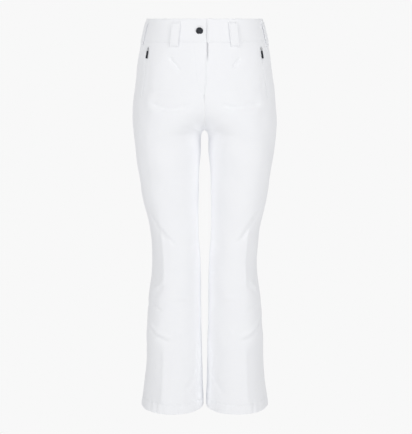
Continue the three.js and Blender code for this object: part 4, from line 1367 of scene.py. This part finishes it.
# ---------------------------------------------------------------- zips
for side, nm in ((1, "left"), (-1, "right")):
    f = POCK[side]
    n0 = -3.8
    fwd = 1 if PFn is not None and f.b[1] < 0 else -1
    for sg, place_ in ((fwd, "front"), (-fwd, "back")):
        ob = strip(f"pocket_tape_{place_}_{nm}", f, -5, 126.5, sg * 2.1, sg * 12.4, n0 - .05, .5, TAPE, .05)
        soft(ob, "zip_tape", [f"pocket_zip_tape_{place_}_{nm}"])
        ob = coil(f"pocket_teeth_{place_}_{nm}", f, -2.0, 122.5, sg, n0 + .1, COIL)
        soft(ob, "zip_coil", [f"pocket_zip_coil_{place_}_{nm}"])
    ob = merge(f"pocket_end_stop_{nm}", [plate(rounded(122.9, 125.7, 2.2, 2.2, .7), n0 - .9, n0 + .9, .35, f)], GUN)
    soft(ob, "zip_metal", [f"pocket_zip_stop_{nm}"])
    ob = slider_obj(f"pocket_slider_body_{nm}", f, n0, n0 + 6.4, ENAMEL)
    soft(ob, "zip_metal", [f"pocket_zip_slider_{nm}"], f"pocket_slider_{nm}")
    ob = pull_obj(f"pocket_pull_tab_{nm}", f, n0 + 5.6, 8, 19, 3.0, 2.2, .42)
    soft(ob, "zip_metal", [f"pocket_zip_pull_{nm}"], f"pocket_pull_{nm}")

f, n0 = FLY, -7.0
pos = 1 if f.b[0] > 0 else -1
for sg, nm in ((pos, "left"), (-pos, "right")):
    ob = strip(f"fly_tape_{nm}", f, -5, 106, sg * 2.1, sg * 13.0, n0 - .05, .5, TAPE, .05)
    soft(ob, "zip_tape", [f"fly_zip_tape_{nm}"])
    ob = coil(f"fly_teeth_{nm}", f, -2.0, 102.0, sg, n0 + .1, COIL)
    soft(ob, "zip_coil", [f"fly_zip_coil_{nm}"])
ob = merge("fly_end_stop", [plate(rounded(102.4, 105.2, 2.2, 2.2, .7), n0 - .9, n0 + .9, .35, f)], GUN)
soft(ob, "zip_metal", ["fly_zip_bottom_stop"])
ob = slider_obj("fly_slider_body", f, n0, n0 + 2.7)
soft(ob, "zip_metal", ["fly_zip_slider"], "fly_slider")
ob = pull_obj("fly_pull_tab", f, n0 + 2.1, 4.4, 8.5, 2.6, .8, .3)
soft(ob, "zip_metal", ["fly_zip_pull"], "fly_pull")

# ---------------------------------------------------------------- press button
cap = [(-2.3, 0), (-2.3, 1.7), (-2.15, 2.0), (.85, 2.0), (.85, 7.3), (.95, 8.0), (1.25, 8.55), (1.65, 8.72), (2.05, 8.6), (2.4, 8.2),
       (2.52, 7.7), (2.40, 7.25), (2.16, 6.95), (2.14, 6.6), (2.36, 6.2), (2.7, 5.4), (2.98, 4.3), (3.2, 3.0), (3.32, 1.5), (3.36, 0)]
def knurl(h, r, th):
    return .05 * np.sin(th * 60) * (1 if r > 8.4 else 0)
b1 = lathe("button_cap", BFo, BFn, cap, 192, GUN, wobble=knurl)
soft(b1, "button_metal", ["snap_cap"], "closure_flap")
sock = [(-4.4, 2.3), (-4.4, 4.6), (-4.28, 5.1), (-3.9, 5.45), (-3.4, 5.6), (-2.9, 5.45), (-2.66, 5.0), (-2.6, 4.6), (-2.72, 4.1), (-3.2, 3.6), (-3.3, 3.0), (-2.9, 2.7), (-2.62, 2.5), (-2.7, 2.3)]
soft(lathe("button_socket", BFo, BFn, sock, 72, STEEL), "button_metal", ["snap_socket"], "closure_flap")
stud = [(-5.55, 0), (-5.55, 4.6), (-5.45, 5.0), (-5.2, 5.15), (-4.9, 5.0), (-4.75, 4.5), (-4.72, 2.4), (-4.5, 1.8), (-3.9, 1.55), (-3.4, 1.72), (-3.1, 1.78), (-2.9, 1.6), (-2.8, 1.1), (-2.76, 0)]
soft(lathe("button_stud", BFo, BFn, stud, 72, STEEL), "button_metal", ["snap_stud"])
post = [(-8.6, 0), (-8.6, 4.3), (-8.4, 4.85), (-8.1, 5.0), (-7.85, 4.85), (-7.75, 4.3), (-7.7, 1.3), (-7.5, 1.1), (-5.7, 1.1), (-5.6, .9), (-5.6, 0)]
soft(lathe("button_post", BFo, BFn, post, 64, STEEL), "button_metal", ["snap_post"])

# ---------------------------------------------------------------- stitching
def along(w0, w1, z, off, step_=1.0):
    n = max(4, int(abs(w1 - w0) / step_))
    w = np.linspace(w0, w1, n)
    return surf_run(w, np.full(n, float(z)), off)


def down(wf, z0, z1, off, step_=1.2):
    z = np.arange(z0, z1, -step_)
    return surf_run(wf(z), z, off)


TH = dict(pitch=3.2, gap=.9, r=.21)
s5 = lambda z: float(side_arc(z))
xarc = lambda X, z: float(arc_of_x_v(X, z))
top, bot = -2.6, -54.0
left_runs = [along(xarc(8.6, q), s5(q) - 1.5, q, BO) for q in (top, bot)]
left_runs.append(down(lambda z: arc_of_x_v(8.8 + 0 * z, z), -3.0, -53.5, BO))
back_runs = [along(s5(q) + 1.5, 2 * float(total(q)) - s5(q) - 1.5, q, BO) for q in (top, bot)]
right_runs = [along(-(s5(q) - 1.5), xarc(2.8, q), q, BO) for q in (top, bot)]
right_runs.append(down(lambda z: arc_of_x_v(2.6 + 0 * z, z), -3.0, -53.5, BO))
soft(stitches("thread_band_left", left_runs, THREAD, **TH), "shell")
soft(stitches("thread_band_back", back_runs, THREAD, **TH), "shell")
# the fly: the edge of the flap, and the curved line that holds the fly facing
zj = np.arange(-59.5, -188, -1.0)
wj = -np.interp(-zj, -J_PTS[:, 1], J_ARC)
right_runs.append(surf_run(wj, zj, 0.0))
right_runs.append(down(lambda z: arc_of_x_v(fly_right(z) - 2.0, z), -59.5, -172.0, 0.35))
soft(stitches("thread_front_right", right_runs, THREAD, **TH), "shell", (), "fold")
# a bar tack at the foot of the fly
tk = []
for k in range(12):
    z = -184.5 - .62 * k
    tk.append(surf_run(np.array([-3.2, -1.6]) - .1 * (k % 2), np.array([z, z]), .1))
soft(stitches("thread_fly_tack", tk, THREAD, pitch=1.59, gap=0.0, r=.24), "shell")
runs = []
for side in (1, -1):
    for q in (-1003.4, -1006.6):
        L = float(total(q))
        runs.append(along(side * 2.0, side * (s5(q) - 1.5), q, 0.0))
        runs.append(along(side * (s5(q) + 1.5), side * (L - 2.0), q, 0.0))
soft(stitches("thread_hems", runs, THREAD, **TH), "shell")
runs = []
for side in (1, -1):
    # round each pocket slit
    zz = np.arange(SLIT0 + .5, SLIT1 - 4.6, -1.2)
    spz = arc(pocket_t(zz), zz)
    for e in (-1, 1):
        runs.append(surf_run(side * (spz + e * (SLIT_W + 4.6)), zz, 0.0))
    q = SLIT1 - 4.6
    spq = float(arc(pocket_t(np.array([q])), q)[0])
    runs.append(along(side * (spq - SLIT_W - 4.2), side * (spq + SLIT_W + 4.2), q, 0.0))
soft(stitches("thread_pockets", runs, THREAD, **TH), "shell")
# the double line beside the seat seam
runs = []
zz = np.arange(-60.0, -268, -1.2)
for side in (1, -1):
    runs.append(surf_run(side * (total(zz) - 3.0), zz, 0.0))
soft(stitches("thread_seat_seam", runs, THREAD, **TH), "shell")

# ---------------------------------------------------------------- light and camera
BG = 0.9387
AMBIENT, WALLS, CEILING, GROUND, KEY = 0.405, 0.22, 0.03, 0.40, 69.5
wd = bpy.data.worlds.new("studio")
bpy.context.scene.world = wd
wd.use_nodes = True
t = wd.node_tree
t.nodes.clear()
out, mix, lp = add(t, "ShaderNodeOutputWorld"), add(t, "ShaderNodeMixShader"), add(t, "ShaderNodeLightPath")
a, b = add(t, "ShaderNodeBackground"), add(t, "ShaderNodeBackground")
a.inputs["Color"].default_value = (.985, .99, 1.01, 1)
b.inputs["Color"].default_value = (BG, BG, BG, 1)
# a studio with white walls before and behind the object and greyer ones at its sides
way, sep = add(t, "ShaderNodeTexCoord"), add(t, "ShaderNodeSeparateXYZ")
t.links.new(way.outputs["Generated"], sep.inputs[0])


def wmath(kind, x, y, z=None):
    n = add(t, "ShaderNodeMath", operation=kind)
    for k, v in enumerate((x, y, z)):
        if v is None:
            continue
        if isinstance(v, (int, float)):
            n.inputs[k].default_value = v
        else:
            t.links.new(v, n.inputs[k])
    return n.outputs[0]


yy = wmath("MULTIPLY", sep.outputs["Y"], sep.outputs["Y"])
up = wmath("MAXIMUM", sep.outputs["Z"], 0.0)
power = wmath("MULTIPLY_ADD", yy, WALLS, AMBIENT)
down = wmath("MAXIMUM", wmath("MULTIPLY", sep.outputs["Z"], -1.0), 0.0)      # light thrown back by a pale ground
power = wmath("MULTIPLY_ADD", down, GROUND, power)
t.links.new(wmath("MULTIPLY_ADD", up, CEILING, power), a.inputs["Strength"])
t.links.new(lp.outputs["Is Camera Ray"], mix.inputs["Fac"])
t.links.new(a.outputs[0], mix.inputs[1])
t.links.new(b.outputs[0], mix.inputs[2])
t.links.new(mix.outputs[0], out.inputs["Surface"])


def area(name, loc, target, size, power):
    d = bpy.data.lights.new(name, "AREA")
    d.shape, d.size, d.energy = "DISK", size, power
    o = bpy.data.objects.new(name, d)
    o.location = loc
    o.rotation_euler = (Vector(target) - Vector(loc)).to_track_quat("-Z", "Y").to_euler()
    bpy.context.scene.collection.objects.link(o)
    return o


area("key", (-3.7, -3.3, 2.0), (0, 0, -.5), 2.2, KEY)
area("fill", (3.7, -3.3, 1.5), (0, 0, -.5), 2.2, KEY)
area("low", (0.0, -3.4, -1.15), (0, 0, -.4), 1.6, 7.5)
area("back_left", (2.0, 4.6, 2.2), (0, 0, -.5), 2.4, 44.0)
area("back_right", (-2.6, 4.4, 1.2), (0, 0, -.5), 2.4, 20.0)
cd = bpy.data.cameras.new("camera")
cd.lens, cd.sensor_width, cd.sensor_fit = 83.279, 36.0, "AUTO"
cam = bpy.data.objects.new("camera", cd)
cam.location = (0.003367, -2.6, -0.010)
cam.rotation_euler = (math.radians(90 - 10.95), 0, 0)
cd.clip_start, cd.clip_end = 0.05, 60
bpy.context.scene.collection.objects.link(cam)
bpy.context.scene.camera = cam
cy = bpy.context.scene.cycles
cy.max_bounces, cy.diffuse_bounces, cy.glossy_bounces = 20, 16, 6     # white cloth passes light on many times
vs = bpy.context.scene.view_settings
vs.view_transform, vs.look, vs.exposure, vs.gamma = "Standard", "None", 0.0, 1.0
